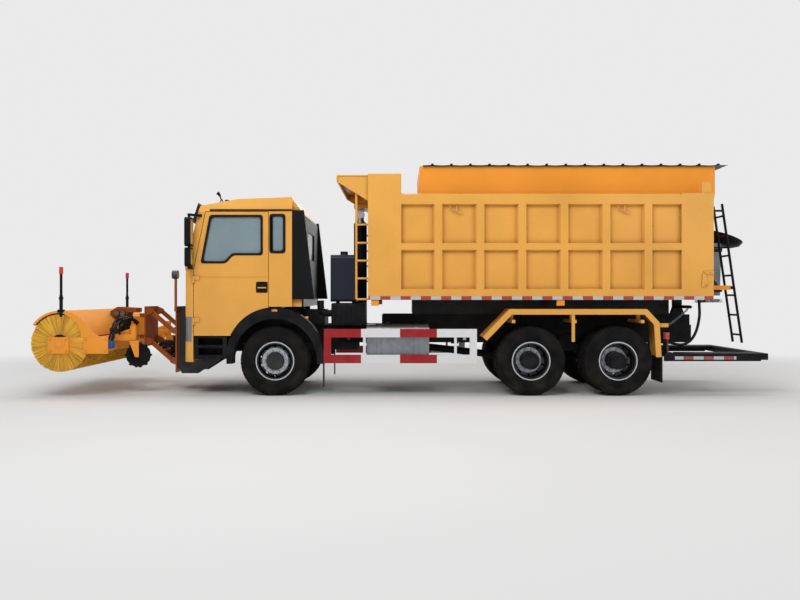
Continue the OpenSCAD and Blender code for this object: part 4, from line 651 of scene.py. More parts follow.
def make_studio():
    scene = bpy.context.scene
    scene.view_settings.view_transform = "Standard"
    world = bpy.data.worlds.new("sky")
    scene.world = world
    world.use_nodes = True
    tree = world.node_tree
    sky = tree.nodes["Background"]
    path = tree.nodes.new("ShaderNodeLightPath")
    seen = path.outputs["Is Camera Ray"]
    for ray in ("Is Glossy Ray", "Is Transmission Ray"):
        either = tree.nodes.new("ShaderNodeMath")
        either.operation = "MAXIMUM"
        tree.links.new(seen, either.inputs[0])
        tree.links.new(path.outputs[ray], either.inputs[1])
        seen = either.outputs[0]
    strength = tree.nodes.new("ShaderNodeMapRange")
    strength.inputs["To Min"].default_value = SKY_STRENGTH
    strength.inputs["To Max"].default_value = 1.0
    tree.links.new(seen, strength.inputs["Value"])
    tree.links.new(strength.outputs["Result"], sky.inputs["Strength"])
    sky.inputs["Color"].default_value = (BACKGROUND, BACKGROUND, BACKGROUND, 1)
    for name, place, aim, width, length, power in LAMPS:
        data = bpy.data.lights.new(name, "AREA")
        data.shape = "RECTANGLE"
        data.size, data.size_y, data.energy = width, length, power
        lamp = bpy.data.objects.new(name, data)
        lamp.location = place
        lamp.visible_camera = False
        lamp.rotation_euler = (Vector(aim) - Vector(place)).to_track_quat("-Z", "Y").to_euler()
        scene.collection.objects.link(lamp)
    bm = bmesh.new()
    add_lathe(bm, [(90.0, -0.02), (90.0, 0.0)], (0, 0, 0), "z", 96)
    floor = piece("floor", bm, None, materials=[floor_look()])


# The floor is lit near the truck and fades into the background between these distances
FLOOR_FADE = (6.5, 13.0)


def floor_look():
    look = Look("studio_floor", 0.9)
    far = look.spread(look.away(X=0.0, Y=0.0), *FLOOR_FADE, 0.0, 1.0)
    near = look.mix(look.noise(0.6, 3.0), (0.78, 0.78, 0.78), (0.80, 0.80, 0.80))
    look.set("Base color", look.mix(far, near, (0.0, 0.0, 0.0)))
    look.set("Specular IOR level", 0.0)
    look.set("Emission color", (BACKGROUND, BACKGROUND, BACKGROUND))
    look.set("Emission strength", far)
    return look.material


# The hydraulic hose from the bed's tail to the chassis, repeated from the part's source
HOSE_Y = 1.0
HOSE_R = 0.022
HOSE_ROUTE = [
    (-6.655, 1.440), (-6.655, 1.400), (-6.658, 1.350), (-6.660, 1.300), (-6.658, 1.240), (-6.650, 1.180),
    (-6.640, 1.120), (-6.625, 1.060), (-6.607, 1.000), (-6.585, 0.950), (-6.557, 0.900), (-6.525, 0.860),
    (-6.490, 0.829), (-6.450, 0.805), (-6.405, 0.790), (-6.360, 0.785), (-6.315, 0.788), (-6.270, 0.796),
    (-6.230, 0.808), (-6.190, 0.815), (-6.145, 0.815),
]


def make_hose():
    route = smooth_route([at(x, HOSE_Y, z) for x, z in HOSE_ROUTE], 3)
    bm = bmesh.new()
    add_tube(bm, smooth_route(route, 3), HOSE_R, 16)
    hose = piece("hydraulic_hose", bm, None, "rubber", ["bed_hose"])
    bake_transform(hose)


make_camera()
make_studio()
make_hose()
finish_nodes()


# Tyres

TREAD_DEPTH = 0.014
TYRE_STEPS = 72


def add_tread_block(bm, middle, turn, span, skew, y0, y1, radius, base, drop):
    """One block of tread: a skewed pad between two widths, its outer edge dropped at the shoulder."""
    points = []
    for r, inset in ((base, 0.0), (radius, 0.06)):
        for y, lean, fall in ((y0, 0.0, drop[0]), (y1, skew, drop[1])):
            edge = (y1 - y0) * inset * (1 if y == y0 else -1)
            for t in (turn + lean + span * inset, turn + lean + span * (1 - inset)):
                reach = r - fall
                points.append(middle + Vector((reach * math.cos(t), y + edge, reach * math.sin(t))))
    close_up(bm, add_faces(bm, points, BOX_LOOPS))


def add_tyre(bm, middle, radius, half, bead, blocks, ribs):
    """A tyre with beads, ringed side walls and a tread of blocks in rows, the outer rows over the shoulder."""
    floor = radius - TREAD_DEPTH
    wall = radius - bead
    side = [
        (bead, half - 0.042), (bead + 0.006, half - 0.03), (bead + 0.035, half - 0.017), (bead + 0.06, half - 0.008),
        (bead + 0.075, half - 0.0065), (bead + 0.079, half - 0.003), (bead + 0.087, half - 0.003),
        (bead + 0.091, half - 0.004), (bead + 0.13, half), (bead + 0.62 * wall, half - 0.001),
        (bead + 0.66 * wall, half - 0.004), (bead + 0.675 * wall, half - 0.002), (bead + 0.69 * wall, half - 0.006),
        (radius - 0.06, half - 0.012), (radius - 0.035, half - 0.021), (floor - 0.004, half - 0.034),
        (floor, half - 0.05),
    ]
    profile = [(r, -y) for r, y in side] + [(r, y) for r, y in reversed(side)]
    add_lathe(bm, profile, middle, "y", TYRE_STEPS, closed=True)
    width = 2 * (half - 0.024)
    row = width / ribs
    pitch = 2 * math.pi / blocks
    for i in range(ribs):
        y0 = -width / 2 + i * row + 0.006
        y1 = y0 + row - 0.012
        outer = {0: (0.022, 0.0), ribs - 1: (0.0, 0.022)}.get(i, (0.0, 0.0))
        lean = pitch * (0.35 if i % 2 else -0.35)
        for k in range(blocks):
            add_tread_block(bm, middle, pitch * (k + 0.5 * (i % 2)), pitch * 0.8, lean, y0, y1, radius,
                            floor - 0.006, outer)


BEAD_SHARE = 0.545
# Blocks of tread round a tyre, and rows of them across it
FRONT_TREAD = (56, 5)
TWIN_TREAD = (52, 4)


def make_tyres():
    low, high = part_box("front_tyre_left")
    radius, half = (high.z - low.z) / 2, (high.y - low.y) / 2
    bead = radius * BEAD_SHARE
    for side in SIDES:
        bm = bmesh.new()
        add_tyre(bm, centre(f"front_tyre_{side}"), radius, half, bead, *FRONT_TREAD)
        piece(f"road_tyre_{side}", bm, f"front_wheel_{side[0]}", "tyre", [f"front_tyre_{side}"])
        for axle in (1, 2):
            node = f"rear_tyres_{axle}_{side}"
            low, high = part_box(node)
            middle = centre(node)
            bm = bmesh.new()
            for y in (low.y + half, high.y - half):
                add_tyre(bm, Vector((middle.x, y, middle.z)), radius, half, bead, *TWIN_TREAD)
            piece(f"twin_tyres_{axle}_{side}", bm, f"rear_wheels_{axle}_{side[0]}", "tyre", [node])


# Brush roll

CORE_R = 0.13
WAFERS = 46
CLUMPS = 44
STRANDS = 6
END_WAFERS = 3
STRAND_SIDES = 3
STRAND_W = 0.015


def add_strand(bm, tone_layer, tone, foot, bend, tip, width):
    """One bundle of bristles: a tapered strip with a slight bend."""
    rings = []
    flat = Vector((0, 1, 0))
    across = (tip - foot).normalized().cross(flat).normalized()
    for p, w in ((foot, width * 0.75), (bend, width), (tip, width * 0.8)):
        corners = [p + across * w / 2, p - across * w / 2 + flat * w * 0.2, p - flat * w * 0.35]
        rings.append([bm.verts.new(c) for c in corners])
    # Painted shade: a strand's tone falls to 0.35 at its foot and 0.85 at its bend
    for ring, share in zip(rings, (0.35, 0.85, 1.0)):
        for v in ring:
            v[tone_layer] = tone * share
    for a, b in zip(rings, rings[1:]):
        for k in range(STRAND_SIDES):
            bm.faces.new((a[k], a[(k + 1) % STRAND_SIDES], b[(k + 1) % STRAND_SIDES], b[k]))
    bm.faces.new(rings[0][::-1])
    bm.faces.new(rings[-1])


def wafer_places(low, high):
    """Places of the bristle rings along the roll, closer at its ends."""
    inner = [low + (high - low) * (i + 0.5) / WAFERS for i in range(WAFERS)]
    ends = [0.012 + 0.022 * i for i in range(END_WAFERS)]
    return sorted(inner + [low + e for e in ends] + [high - e for e in ends])


def make_brush():
    low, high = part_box("brush")
    middle = (low + high) / 2
    reach = (high.z - low.z) / 2
    bm = bmesh.new()
    tone_layer = bm.verts.layers.float.new("tone")
    for y in wafer_places(low.y, high.y):
        shift = RANDOM.uniform(0, 2 * math.pi)
        for c in range(CLUMPS):
            turn = shift + 2 * math.pi * c / CLUMPS
            clump_tone = RANDOM.uniform(0.35, 1.0)
            for s in range(STRANDS):
                spread = (s / (STRANDS - 1) - 0.5) * 2 * math.pi / CLUMPS
                t0, t1 = turn + spread * 0.5, turn + spread * 0.95 + RANDOM.uniform(-0.012, 0.012)
                y1 = min(high.y - 0.004, max(low.y + 0.004, y + RANDOM.uniform(-0.026, 0.026)))
                r = reach - RANDOM.uniform(0.0, 0.012)
                ends = [(CORE_R - 0.01, t0, y), (0.62 * r, (t0 + t1) / 2, (y + y1) / 2), (r, t1, y1)]
                foot, bend, tip = (
                    Vector((middle.x + q * math.cos(t), w, middle.z + q * math.sin(t))) for q, t, w in ends)
                tone = min(1.0, max(0.0, clump_tone + RANDOM.uniform(-0.15, 0.15)))
                add_strand(bm, tone_layer, tone, foot, bend, tip, STRAND_W)
    bmesh.ops.recalc_face_normals(bm, faces=bm.faces[:])
    piece("bristles", bm, "brush_roll", "bristle", ["brush"])
    bm = bmesh.new()
    end = (low.y - high.y) / 2
    hub = [(0.03, end - 0.002), (0.05, end - 0.002), (0.055, end + 0.006), (CORE_R, end + 0.008), (CORE_R, end + 0.03)]
    add_lathe(bm, hub + [(r, -y) for r, y in reversed(hub)], middle, "y", 40)
    for y, sign in ((low.y, -1), (high.y, 1)):
        add_bolt_ring(bm, Vector((middle.x, y - sign * 0.008, middle.z)), 0.095, sign, 0.009)
    piece("brush_core", bm, "brush_roll", "chassis_black")


# Rolled cover over the hopper

COVER_RODS = 16
COVER_SAG = 0.006
ROD_R = 0.011
SHEET_T = 0.003


def make_cover():
    low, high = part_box("hopper_cover")
    lift = low.z + 0.004
    rod_x = [low.x + (high.x - low.x) * (i + 0.5) / COVER_RODS for i in range(COVER_RODS)]
    pitch = rod_x[1] - rod_x[0]
    columns, rows = COVER_RODS * 8, 28
    bm = bmesh.new()
    grid = []
    for i in range(columns + 1):
        x = low.x + (high.x - low.x) * i / columns
        sag = COVER_SAG * (0.5 + 0.5 * math.cos(2 * math.pi * (x - rod_x[0]) / pitch))
        line = []
        for j in range(rows + 1):
            y = low.y + (high.y - low.y) * j / rows
            ripple = 0.0016 * math.sin(9.0 * y + 5.0 * x) + 0.0012 * math.sin(23.0 * y - 3.0 * x)
            edge = max(0.0, abs(2 * j / rows - 1) - 0.93) / 0.07
            line.append(bm.verts.new((x, y, lift + 0.008 + sag + ripple - 0.006 * edge * edge)))
        grid.append(line)
    for a, b in zip(grid, grid[1:]):
        for j in range(rows):
            bm.faces.new((a[j], b[j], b[j + 1], a[j + 1]))
    bmesh.ops.recalc_face_normals(bm, faces=bm.faces[:])
    sheet = piece("cover_sheet", bm, "bed", "cover_fabric", ["hopper_cover"])
    thick = sheet.modifiers.new("thickness", "SOLIDIFY")
    thick.thickness = SHEET_T
    thick.offset = 0
    bm = bmesh.new()
    for x in rod_x:
        z = lift + 0.008 + COVER_SAG + 0.002 + ROD_R * 0.4
        add_tube(bm, [(x, low.y + 0.004, z), (x, high.y - 0.004, z)], ROD_R, 10)
        for y in (low.y + 0.012, high.y - 0.012):
            add_box(bm, (x - 0.02, y - 0.01, z - 0.012), (x + 0.02, y + 0.01, z + 0.012), 0.004)
    rods = piece("cover_rods", bm, "bed", "chassis_black")


# Seats

def add_cushion(bm, low, high, crown, seams, lean, cells=14):
    """A closed pad: crowned faces, sides pulled in between the corners, and sewn channels across its width.

    The pad leans back by lean for each metre of its height.
    """
    low, high = Vector(low), Vector(high)
    size, mid = high - low, (low + high) / 2
    thin = min(range(3), key=lambda i: size[i])
    pad = bmesh.new()
    bmesh.ops.create_cube(pad, size=1.0)
    bmesh.ops.subdivide_edges(pad, edges=pad.edges[:], cuts=cells, use_grid_fill=True)
    wide = [i for i in range(3) if i != thin]
    for v in pad.verts:
        share = [2 * c for c in v.co]
        flat = (1 - abs(share[wide[0]]) ** 4) * (1 - abs(share[wide[1]]) ** 4)
        groove = max(math.exp(-((share[wide[1]] - s) / 0.05) ** 2) for s in seams)
        place = [0.0, 0.0, 0.0]
        for i in wide:
            other = wide[1] if i == wide[0] else wide[0]
            pull = 1 - 0.035 * (1 - share[other] ** 2) - 0.05 * abs(share[thin]) ** 3
            place[i] = mid[i] + share[i] * size[i] / 2 * pull
        rise = size[thin] / 2 * (1 - crown) + size[thin] / 2 * crown * flat - 0.012 * groove * flat
        place[thin] = mid[thin] + share[thin] * rise
        place[0] -= lean * (place[2] - low.z)
        v.co = place
    made = bpy.data.meshes.new("pad")
    pad.to_mesh(made)
    pad.free()
    bm.from_mesh(made)
    bpy.data.meshes.remove(made)


# Pads of a seat: x and half width, height above the floor, crown, seams and lean
SEAT_PADS = [
    ((0.085, 0.6), 0.255, (0.285, 0.42), 0.45, (-0.55, 0.0, 0.55), 0.0),
    ((0.095, 0.225), 0.235, (0.43, 1.05), 0.4, (-0.5, 0.0, 0.5), 0.22),
    ((-0.06, 0.045), 0.135, (1.065, 1.235), 0.5, (0.0,), 0.08),
]
# Blocks of a seat's base: x, half width, height above the floor and bevel
SEAT_BASE = [
    ((0.13, 0.5), 0.17, (0.0, 0.1), 0.012), ((0.16, 0.46), 0.14, (0.1, 0.24), 0.02),
    ((0.1, 0.56), 0.2, (0.24, 0.283), 0.012),
]
SEAT_IN = 0.26


def make_seats():
    low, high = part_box("seats")
    floor = low.z
    for side, sign in SIDES.items():
        y = sign * (high.y - SEAT_IN)
        bm = bmesh.new()
        for (x0, x1), half, (z0, z1), *form in SEAT_PADS:
            add_cushion(bm, at(x0, y - half, floor + z0), at(x1, y + half, floor + z1), *form)
        pad = piece(f"seat_pads_{side}", bm, "chassis", "seat_fabric", ["seats"], smooth_angle=60)
        bm = bmesh.new()
        for (x0, x1), half, (z0, z1), bevel in SEAT_BASE:
            add_box(bm, at(x0, y - half, floor + z0), at(x1, y + half, floor + z1), bevel)
        for stem in (-0.07, 0.07):
            add_tube(bm, [at(-0.02, y + stem, floor + 1.0), at(-0.03, y + stem, floor + 1.1)], 0.009, 10)
        piece(f"seat_base_{side}", bm, "chassis", "black_plastic")


make_tyres()
make_brush()
make_cover()
make_seats()


# Cab trim

CAB_SIDE_Y = 1.24
DOOR_WINDOW = [(1.127, 2.070), (0.760, 2.070), (0.650, 2.195), (0.196, 2.195), (0.196, 2.790), (0.991, 2.790)]
QUARTER_WINDOW = rectangle(0.06, -0.15, 2.230, 2.800)
HANDLE_RECESS = rectangle(0.112, 0.281, 1.606, 1.764)
# How deep trim stands in and on the cab's side
TRIM_DEPTH = (CAB_SIDE_Y - 0.004, CAB_SIDE_Y + 0.012)
SCREEN_FOOT = (1.390, 1.960)
SCREEN_LEAN = 0.238


def screen_x(z):
    """The windscreen's place at a height, ahead of the front axle."""
    return SCREEN_FOOT[0] - SCREEN_LEAN * (z - SCREEN_FOOT[1])


def grown(outline, by):
    """An outline moved outwards by a distance."""
    points = [Vector(p) for p in outline]
    area = sum(a.x * b.y - b.x * a.y for a, b in zip(points, points[1:] + points[:1]))
    sign = 1 if area > 0 else -1
    made = []
    for i, p in enumerate(points):
        normals = []
        for a, b in ((points[i - 1], p), (p, points[(i + 1) % len(points)])):
            along = (b - a).normalized()
            normals.append(Vector((along.y, -along.x)) * sign)
        out = (normals[0] + normals[1]).normalized()
        made.append(tuple(p + out * by / max(0.4, out.dot(normals[0]))))
    return made


def add_band(bm, outline, inside, outside, y0, y1):
    """A flat ring along an outline in the xz plane, with rounded corners, between two depths."""
    inner, outer = (ahead(rounded(grown(outline, by), 0.05, 5)) for by in (-inside, outside))
    turns = ((inner, y0), (inner, y1), (outer, y1), (outer, y0))
    add_rings(bm, [[(x, y, z) for x, z in ring] for ring, y in turns], True)


def make_window_seals():
    """Black rubber round the side windows, and a bar beside the quarter window."""
    for side, sign in SIDES.items():
        y0, y1 = outwards(sign, CAB_SIDE_Y - 0.004, CAB_SIDE_Y + 0.006)
        bm = bmesh.new()
        add_band(bm, DOOR_WINDOW, 0.02, 0.016, y0, y1)
        piece(f"door_seal_{side}", bm, f"door_{side[0]}", "rubber")
        bm = bmesh.new()
        add_band(bm, QUARTER_WINDOW, 0.02, 0.02, y0, y1)
        add_box(bm, at(0.026, y0, 2.25), at(0.056, y1, 2.78))
        piece(f"quarter_seal_{side}", bm, "chassis", "rubber")


def make_door_handles():
    """A bezel in the door's recess, a pull bar across it and a lock barrel."""
    for side, sign in SIDES.items():
        bm = bmesh.new()
        add_band(bm, HANDLE_RECESS, 0.014, 0.006, *outwards(sign, CAB_SIDE_Y - 0.012, CAB_SIDE_Y + 0.004))
        add_side_box(bm, sign, (0.115, 0.278), (CAB_SIDE_Y - 0.017, CAB_SIDE_Y - 0.011), (1.61, 1.76), 0.002)
        add_side_box(bm, sign, (0.125, 0.268), (CAB_SIDE_Y - 0.008, CAB_SIDE_Y + 0.008), (1.69, 1.735), 0.007)
        lock = [at(0.15, sign * y, 1.645) for y in (CAB_SIDE_Y - 0.016, CAB_SIDE_Y + 0.002)]
        add_tube(bm, lock, 0.011, 14)
        piece(f"door_handle_{side}", bm, f"door_{side[0]}", "black_plastic", materials=[BLACK_GLOSS])


# The crease below the window
DOOR_CREASE_Z = 1.842


def make_door_pressings():
    """The crease pressed into each door below its window."""
    for side, sign in SIDES.items():
        bm = bmesh.new()
        crease = [(CAB_SIDE_Y - 0.002, DOOR_CREASE_Z - 0.016), (CAB_SIDE_Y + 0.006, DOOR_CREASE_Z),
                  (CAB_SIDE_Y - 0.002, DOOR_CREASE_Z + 0.004)]
        add_prism(bm, [(sign * y, z) for y, z in crease], AXLE_X + 0.12, AXLE_X + 1.22, "yz")
        piece(f"door_pressings_{side}", bm, f"door_{side[0]}", "yellow_paint")


# The visor over the windscreen: its edges, how far it stands off, its half width and its bow
VISOR_LOW, VISOR_HIGH = 2.70, 3.0
VISOR_AHEAD = 0.055
VISOR_HALF = 1.16
VISOR_BOW = 0.05
VISOR_STEPS = 24
BRACKET_Z = 2.98
# The roof's height at its fittings, and the horn's place across
ROOF_Z = 3.03
HORN_Y = 0.55


def visor_bow(y):
    return VISOR_BOW * (1 - (y / VISOR_HALF) ** 2)


def make_roof_trim():
    """Drip rails, the visor over the windscreen on its brackets, the horn and the roof's markers."""
    bm = bmesh.new()
    add_pair(bm, (-0.27, 1.0), TRIM_DEPTH, (2.868, 2.892), 0.004)
    piece("drip_rails", bm, "chassis", "black_plastic")
    bm = bmesh.new()
    section = [(VISOR_LOW, 0.03), (VISOR_HIGH, 0.0), (VISOR_HIGH, -0.008), (VISOR_LOW, 0.022)]
    rings = []
    for i in range(VISOR_STEPS + 1):
        y = VISOR_HALF * (2 * i / VISOR_STEPS - 1)
        rings.append([at(screen_x(z) + VISOR_AHEAD + off + visor_bow(y), y, z) for z, off in section])
    add_rings(bm, rings)
    for y in (-1.0, -0.35, 0.35, 1.0):
        x = screen_x(BRACKET_Z)
        add_box(bm, at(x - 0.06, y - 0.015, BRACKET_Z - 0.025),
                at(x + VISOR_AHEAD + visor_bow(y), y + 0.015, BRACKET_Z - 0.005), 0.004)
    piece("windscreen_visor", bm, "chassis", "black_plastic", materials=[BLACK_GLOSS])
    bm = bmesh.new()
    for x in (0.895, 1.015):
        add_tube(bm, [at(x, HORN_Y, ROOF_Z - 0.03), at(0.965, HORN_Y, ROOF_Z + 0.1)], 0.009, 10)
    add_tube(bm, [at(0.965, HORN_Y, ROOF_Z + 0.08), at(1.0, HORN_Y, ROOF_Z + 0.17)], 0.011, 10)
    horn = [at(x, HORN_Y, ROOF_Z + up) for x, up in ((0.985, 0.14), (1.005, 0.175), (1.03, 0.2))]
    add_tube(bm, horn, [0.016, 0.022, 0.032], 16)
    for y in (-0.9, -0.3, 0.3, 0.9):
        add_box(bm, at(0.77, y - 0.05, ROOF_Z - 0.02), at(0.83, y + 0.05, ROOF_Z + 0.045), 0.012)
    piece("roof_fittings", bm, "chassis", "black_plastic")


def make_mirror_glass():
    """The reflecting faces of the four mirrors."""
    back = AXLE_X + 1.242
    bm = bmesh.new()
    for sign in SIDES.values():
        for z0, z1, y0, y1 in ((2.34, 2.72, 1.325, 1.475), (2.03, 2.26, 1.335, 1.465)):
            ring = rounded(rectangle(sign * y0, sign * y1, z0, z1), 0.03, 4)
            add_prism(bm, ring, back - 0.003, back + 0.002, "yz")
    piece("mirror_faces", bm, "chassis", "glass", materials=[MIRROR])


def make_wipers():
    """Two wiper arms with their blades, parked along the windscreen's foot."""
    bm = bmesh.new()
    lift = 0.018
    z0, z1 = SCREEN_FOOT[1] + 0.02, SCREEN_FOOT[1] + 0.14
    for pivot, tip in ((0.15, 0.95), (-0.75, 0.05)):
        start = at(screen_x(z0) + lift, pivot, z0)
        end = at(screen_x(z1) + lift + 0.02, (pivot + tip) / 2 + 0.1, z1)
        add_tube(bm, [start, start.lerp(end, 0.3) + Vector((0.012, 0, 0)), end], [0.014, 0.009, 0.006], 8)
        add_tube(bm, [start - Vector((0.03, 0, 0)), start + Vector((0.012, 0, 0))], 0.022, 14)
        blade = [at(screen_x(z) + lift, y, z) for y, z in ((tip - 0.75, z1 - 0.03), (tip, z1 + 0.02))]
        add_tube(bm, [blade[0], end, blade[1]], 0.007, 6)
    piece("wipers", bm, "chassis", "black_plastic")


# Small lamps along the side: ahead of the axle, height, length
SIDE_MARKERS = [(0.0, 1.325, 0.09), (-0.5, 1.215, 0.05)]


def make_side_markers():
    """Amber repeaters on the front arches."""
    bm = bmesh.new()
    for x, z, long in SIDE_MARKERS:
        add_pair(bm, (x - long / 2, x + long / 2), TRIM_DEPTH, (z - 0.018, z + 0.018), 0.006)
    piece("side_markers", bm, "chassis", "lamp", materials=[AMBER_LENS])


make_window_seals()
make_door_handles()
make_door_pressings()
make_roof_trim()
make_mirror_glass()
make_wipers()
make_side_markers()


# Bed, hopper and spreader trim

BED_FACE_Y = 1.25
BED_FRONT, BED_REAR = -1.444, -6.791
BED_LOW_Z = 1.490
TAPE_H = 0.055
TAPE_T = 0.003


def make_tape():
    """Red and white reflective tape along the bed's sills and the sides of the underrun guard."""
    bm = bmesh.new()
    foot = BED_LOW_Z + 0.002
    add_pair(bm, (BED_REAR + 0.01, BED_FRONT - 0.01), (BED_FACE_Y - 0.002, BED_FACE_Y + TAPE_T), (foot, foot + TAPE_H))
    piece("bed_tape", bm, "bed", "guard_paint", materials=[TAPE])
    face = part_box("underrun_guard")[1].y
    bm = bmesh.new()
    add_pair(bm, (-7.15, -6.2), (face - 0.002, face + TAPE_T), (0.565, 0.615))
    piece("guard_tape", bm, "chassis", "guard_paint", materials=[TAPE])


# Hooks for the cover's ropes, under the top rail: places from the front axle, and two wires of (x, z)
ROPE_HOOKS = [-2.82, -5.42]
HOOK_WIRES = [
    ([(0.0, 2.955), (0.0, 2.88), (-0.01, 2.85), (-0.05, 2.845), (-0.09, 2.865)], 0.009),
    ([(0.1, 2.955), (0.085, 2.9), (0.02, 2.875)], 0.008),
]
LATCH = [(-6.60, 1.70), (-6.66, 1.68), (-6.70, 1.74), (-6.655, 1.9), (-6.62, 1.905)]
LATCH_BOLTS = [(-6.67, 1.72), (-6.66, 1.905), (-6.74, 1.905)]
LATCH_DEPTH = (BED_FACE_Y - 0.004, BED_FACE_Y + 0.014)


def make_bed_fittings():
    """Rope hooks, and the tail latch with its strap and bolts."""
    bm = bmesh.new()
    add_pair(bm, (-6.79, -6.64), LATCH_DEPTH, (1.88, 1.935), 0.006)
    for sign in SIDES.values():
        for x in ROPE_HOOKS:
            for wire, radius in HOOK_WIRES:
                route = [at(x + dx, sign * (BED_FACE_Y - 0.02), z) for dx, z in wire]
                add_tube(bm, smooth_route(route, 4), radius, 8)
        add_prism(bm, ahead(rounded(LATCH, 0.02, 3)), *outwards(sign, *LATCH_DEPTH))
        for x, z in LATCH_BOLTS:
            add_bolt(bm, at(x, sign * LATCH_DEPTH[1], z), (0, sign, 0), 0.013)
    piece("bed_fittings", bm, "bed", "yellow_paint")


# Weld beads: how far out, the heights of the rails' edges, and the panels' first place, pitch and span
WELD_Y = 1.182
WELD_Z = (1.679, 2.238, 2.392, 2.946)
PANEL_X, PANEL_PITCH = -2.533, 0.65
PANEL_SPAN = (0.09, 0.56)
PANELS = 7


def make_bed_welds():
    """Weld beads where the ribs meet the bed's rails."""
    bm = bmesh.new()
    for sign in SIDES.values():
        for i in range(PANELS):
            x = PANEL_X - PANEL_PITCH * i
            start, end = (x + edge for edge in PANEL_SPAN)
            for z in WELD_Z:
                wander = [WELD_Y + 0.002 * math.sin(2.1 * k) for k in range(11)]
                route = [at(start + (end - start) * k / 10, sign * y, z) for k, y in enumerate(wander)]
                add_tube(bm, route, 0.006, 6)
    piece("bed_welds", bm, "bed", "yellow_paint")


SPREADER_X, SPREADER_Y = -7.24, -0.2
# The spreader's hoses: ahead of the front axle, to the left of the chute, height; and the second one's shift
SPREADER_HOSE = [(-7.10, 0.19, 2.0), (-7.2, 0.24, 1.85), (-7.3, 0.22, 1.75), (-7.33, 0.15, 1.64)]
SECOND_HOSE = (0.02, 0.04)
# The bowl as (radius, height), and its tilt in degrees
BOWL = [(0.012, -0.061), (0.112, -0.056), (0.192, -0.036), (0.285, 0.02), (0.32, 0.095), (0.315, 0.105), (0.3, 0.1)]
BOWL_TILT = -20


def make_spreader_trim():
    """The tilted bowl over the spreader's chute, two hoses, and the chute's bars and straps."""
    x, y = SPREADER_X, SPREADER_Y
    bm = bmesh.new()
    tilt = Matrix.Rotation(math.radians(BOWL_TILT), 3, "Y")
    add_lathe(bm, BOWL, (0, 0, 0), "z", 40)
    for v in bm.verts:
        v.co = tilt @ v.co + at(x - 0.21, y + 0.05, 2.47)
    piece("spreader_bowl", bm, "bed", "black_plastic")
    bm = bmesh.new()
    for dx, dy in ((0.0, 0.0), SECOND_HOSE):
        add_tube(bm, smooth_route([at(a + dx, y + b + dy, c) for a, b, c in SPREADER_HOSE], 5), 0.012, 10)
    for side in (-0.17, 0.17):
        add_box(bm, at(x - 0.3, y + side - 0.02, 2.36), at(x + 0.2, y + side + 0.02, 2.385), 0.004)
    for z in (1.62, 2.3):
        for sign in SIDES.values():
            y0, y1 = outwards(sign, 0.181, 0.19)
            add_box(bm, at(x - 0.165, y + y0, z), at(x + 0.14, y + y1, z + 0.05), 0.003)
    piece("spreader_hoses", bm, "bed", "rubber")


# Chassis trim

# The fuel tank's middle and section as (y, z), its straps' places and width, and its cap as (radius, height)
TANK_Y = 0.78
TANK_SECTION = rectangle(TANK_Y - 0.306, TANK_Y + 0.306, 0.494, 1.106)
STRAPS = [-1.62, -2.21]
STRAP_W = 0.045
CAP = [(0.03, 1.085), (0.055, 1.085), (0.055, 1.11), (0.048, 1.118), (0.048, 1.14), (0.02, 1.146)]
HUB_CAP = [(0.132, -0.06), (0.134, -0.01), (0.126, 0.002), (0.1, 0.006), (0.096, 0.0), (0.06, 0.002), (0.02, 0.004)]
FRONT_HUB_IN = 0.02


def make_tank_trim():
    """Two straps round the fuel tank, each edged with wire, and its filler cap."""
    bm = bmesh.new()
    for x in (x for strap in STRAPS for x in (strap, strap + STRAP_W)):
        add_tube(bm, [at(x, y, z) for y, z in rounded(TANK_SECTION, 0.11, 6)], 0.008, 6, loop=True)
    piece("tank_straps", bm, "chassis", "black_plastic")
    bm = bmesh.new()
    add_lathe(bm, CAP, at(-1.75, TANK_Y + 0.14, 0), "z", 28)
    piece("tank_cap", bm, "chassis", "black_plastic")


def make_wheel_trim():
    """A hub cap with a ring of bolts on each wheel."""
    for side, sign in SIDES.items():
        for rims in RIMS:
            node = f"{rims}_{side}"
            body = rims.replace("rim", "wheel") + f"_{side[0]}"
            hub = centre(node)
            low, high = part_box(node)
            hub.y = (high.y if sign > 0 else low.y) - sign * (FRONT_HUB_IN if rims == "front_rim" else 0.0)
            bm = bmesh.new()
            add_lathe(bm, [(r, sign * a) for r, a in HUB_CAP], hub, "y", 40)
            add_bolt_ring(bm, hub, 0.113, sign, 0.008, 0.5)
            piece(f"hub_cap_{node}", bm, body, "chassis_black")


make_tape()
make_bed_fittings()
make_bed_welds()
make_spreader_trim()
make_tank_trim()
make_wheel_trim()


# Broom trim

BROOM_X, BROOM_Z = 3.2, 0.838
HOOD_R, HOOD_T = 0.478, 0.012
HOOD_SPAN = (35, 167)
ARM_Y = (1.52, 1.56)
ARM_Z = (0.676, 0.93)
# Arm covers: front and rear plates with a recessed middle, ahead of the front axle
ARM_PLATES = [(2.47, 2.84, 0.0), (2.84, 3.06, 0.014), (3.06, 3.38, 0.0)]
# Inner edge of the band between the hood and an arm, from the arm up, about the roll's axis
BAND_INNER = [(-0.325, 0.09), (-0.322, 0.17), (-0.295, 0.26), (-0.22, 0.345), (-0.12, 0.415), (-0.03, 0.462)]
CASTER_X, CASTER_Y = 2.26, 1.0
SWING_X = 2.375
SWING_GUSSET = [(SWING_X, 0.899), (2.485, 0.899), (2.575, 0.72), (2.69, 0.93), (2.735, 1.0), (2.735, 1.13),
                (2.64, 1.201), (SWING_X, 1.201)]
POST_X, POST_TOP = 3.18, 1.99
POST_CAP = 0.105


def around_roll(points):
    """Places about the roll's axis, as places in the frame."""
    return [(AXLE_X + BROOM_X + x, BROOM_Z + z) for x, z in points]


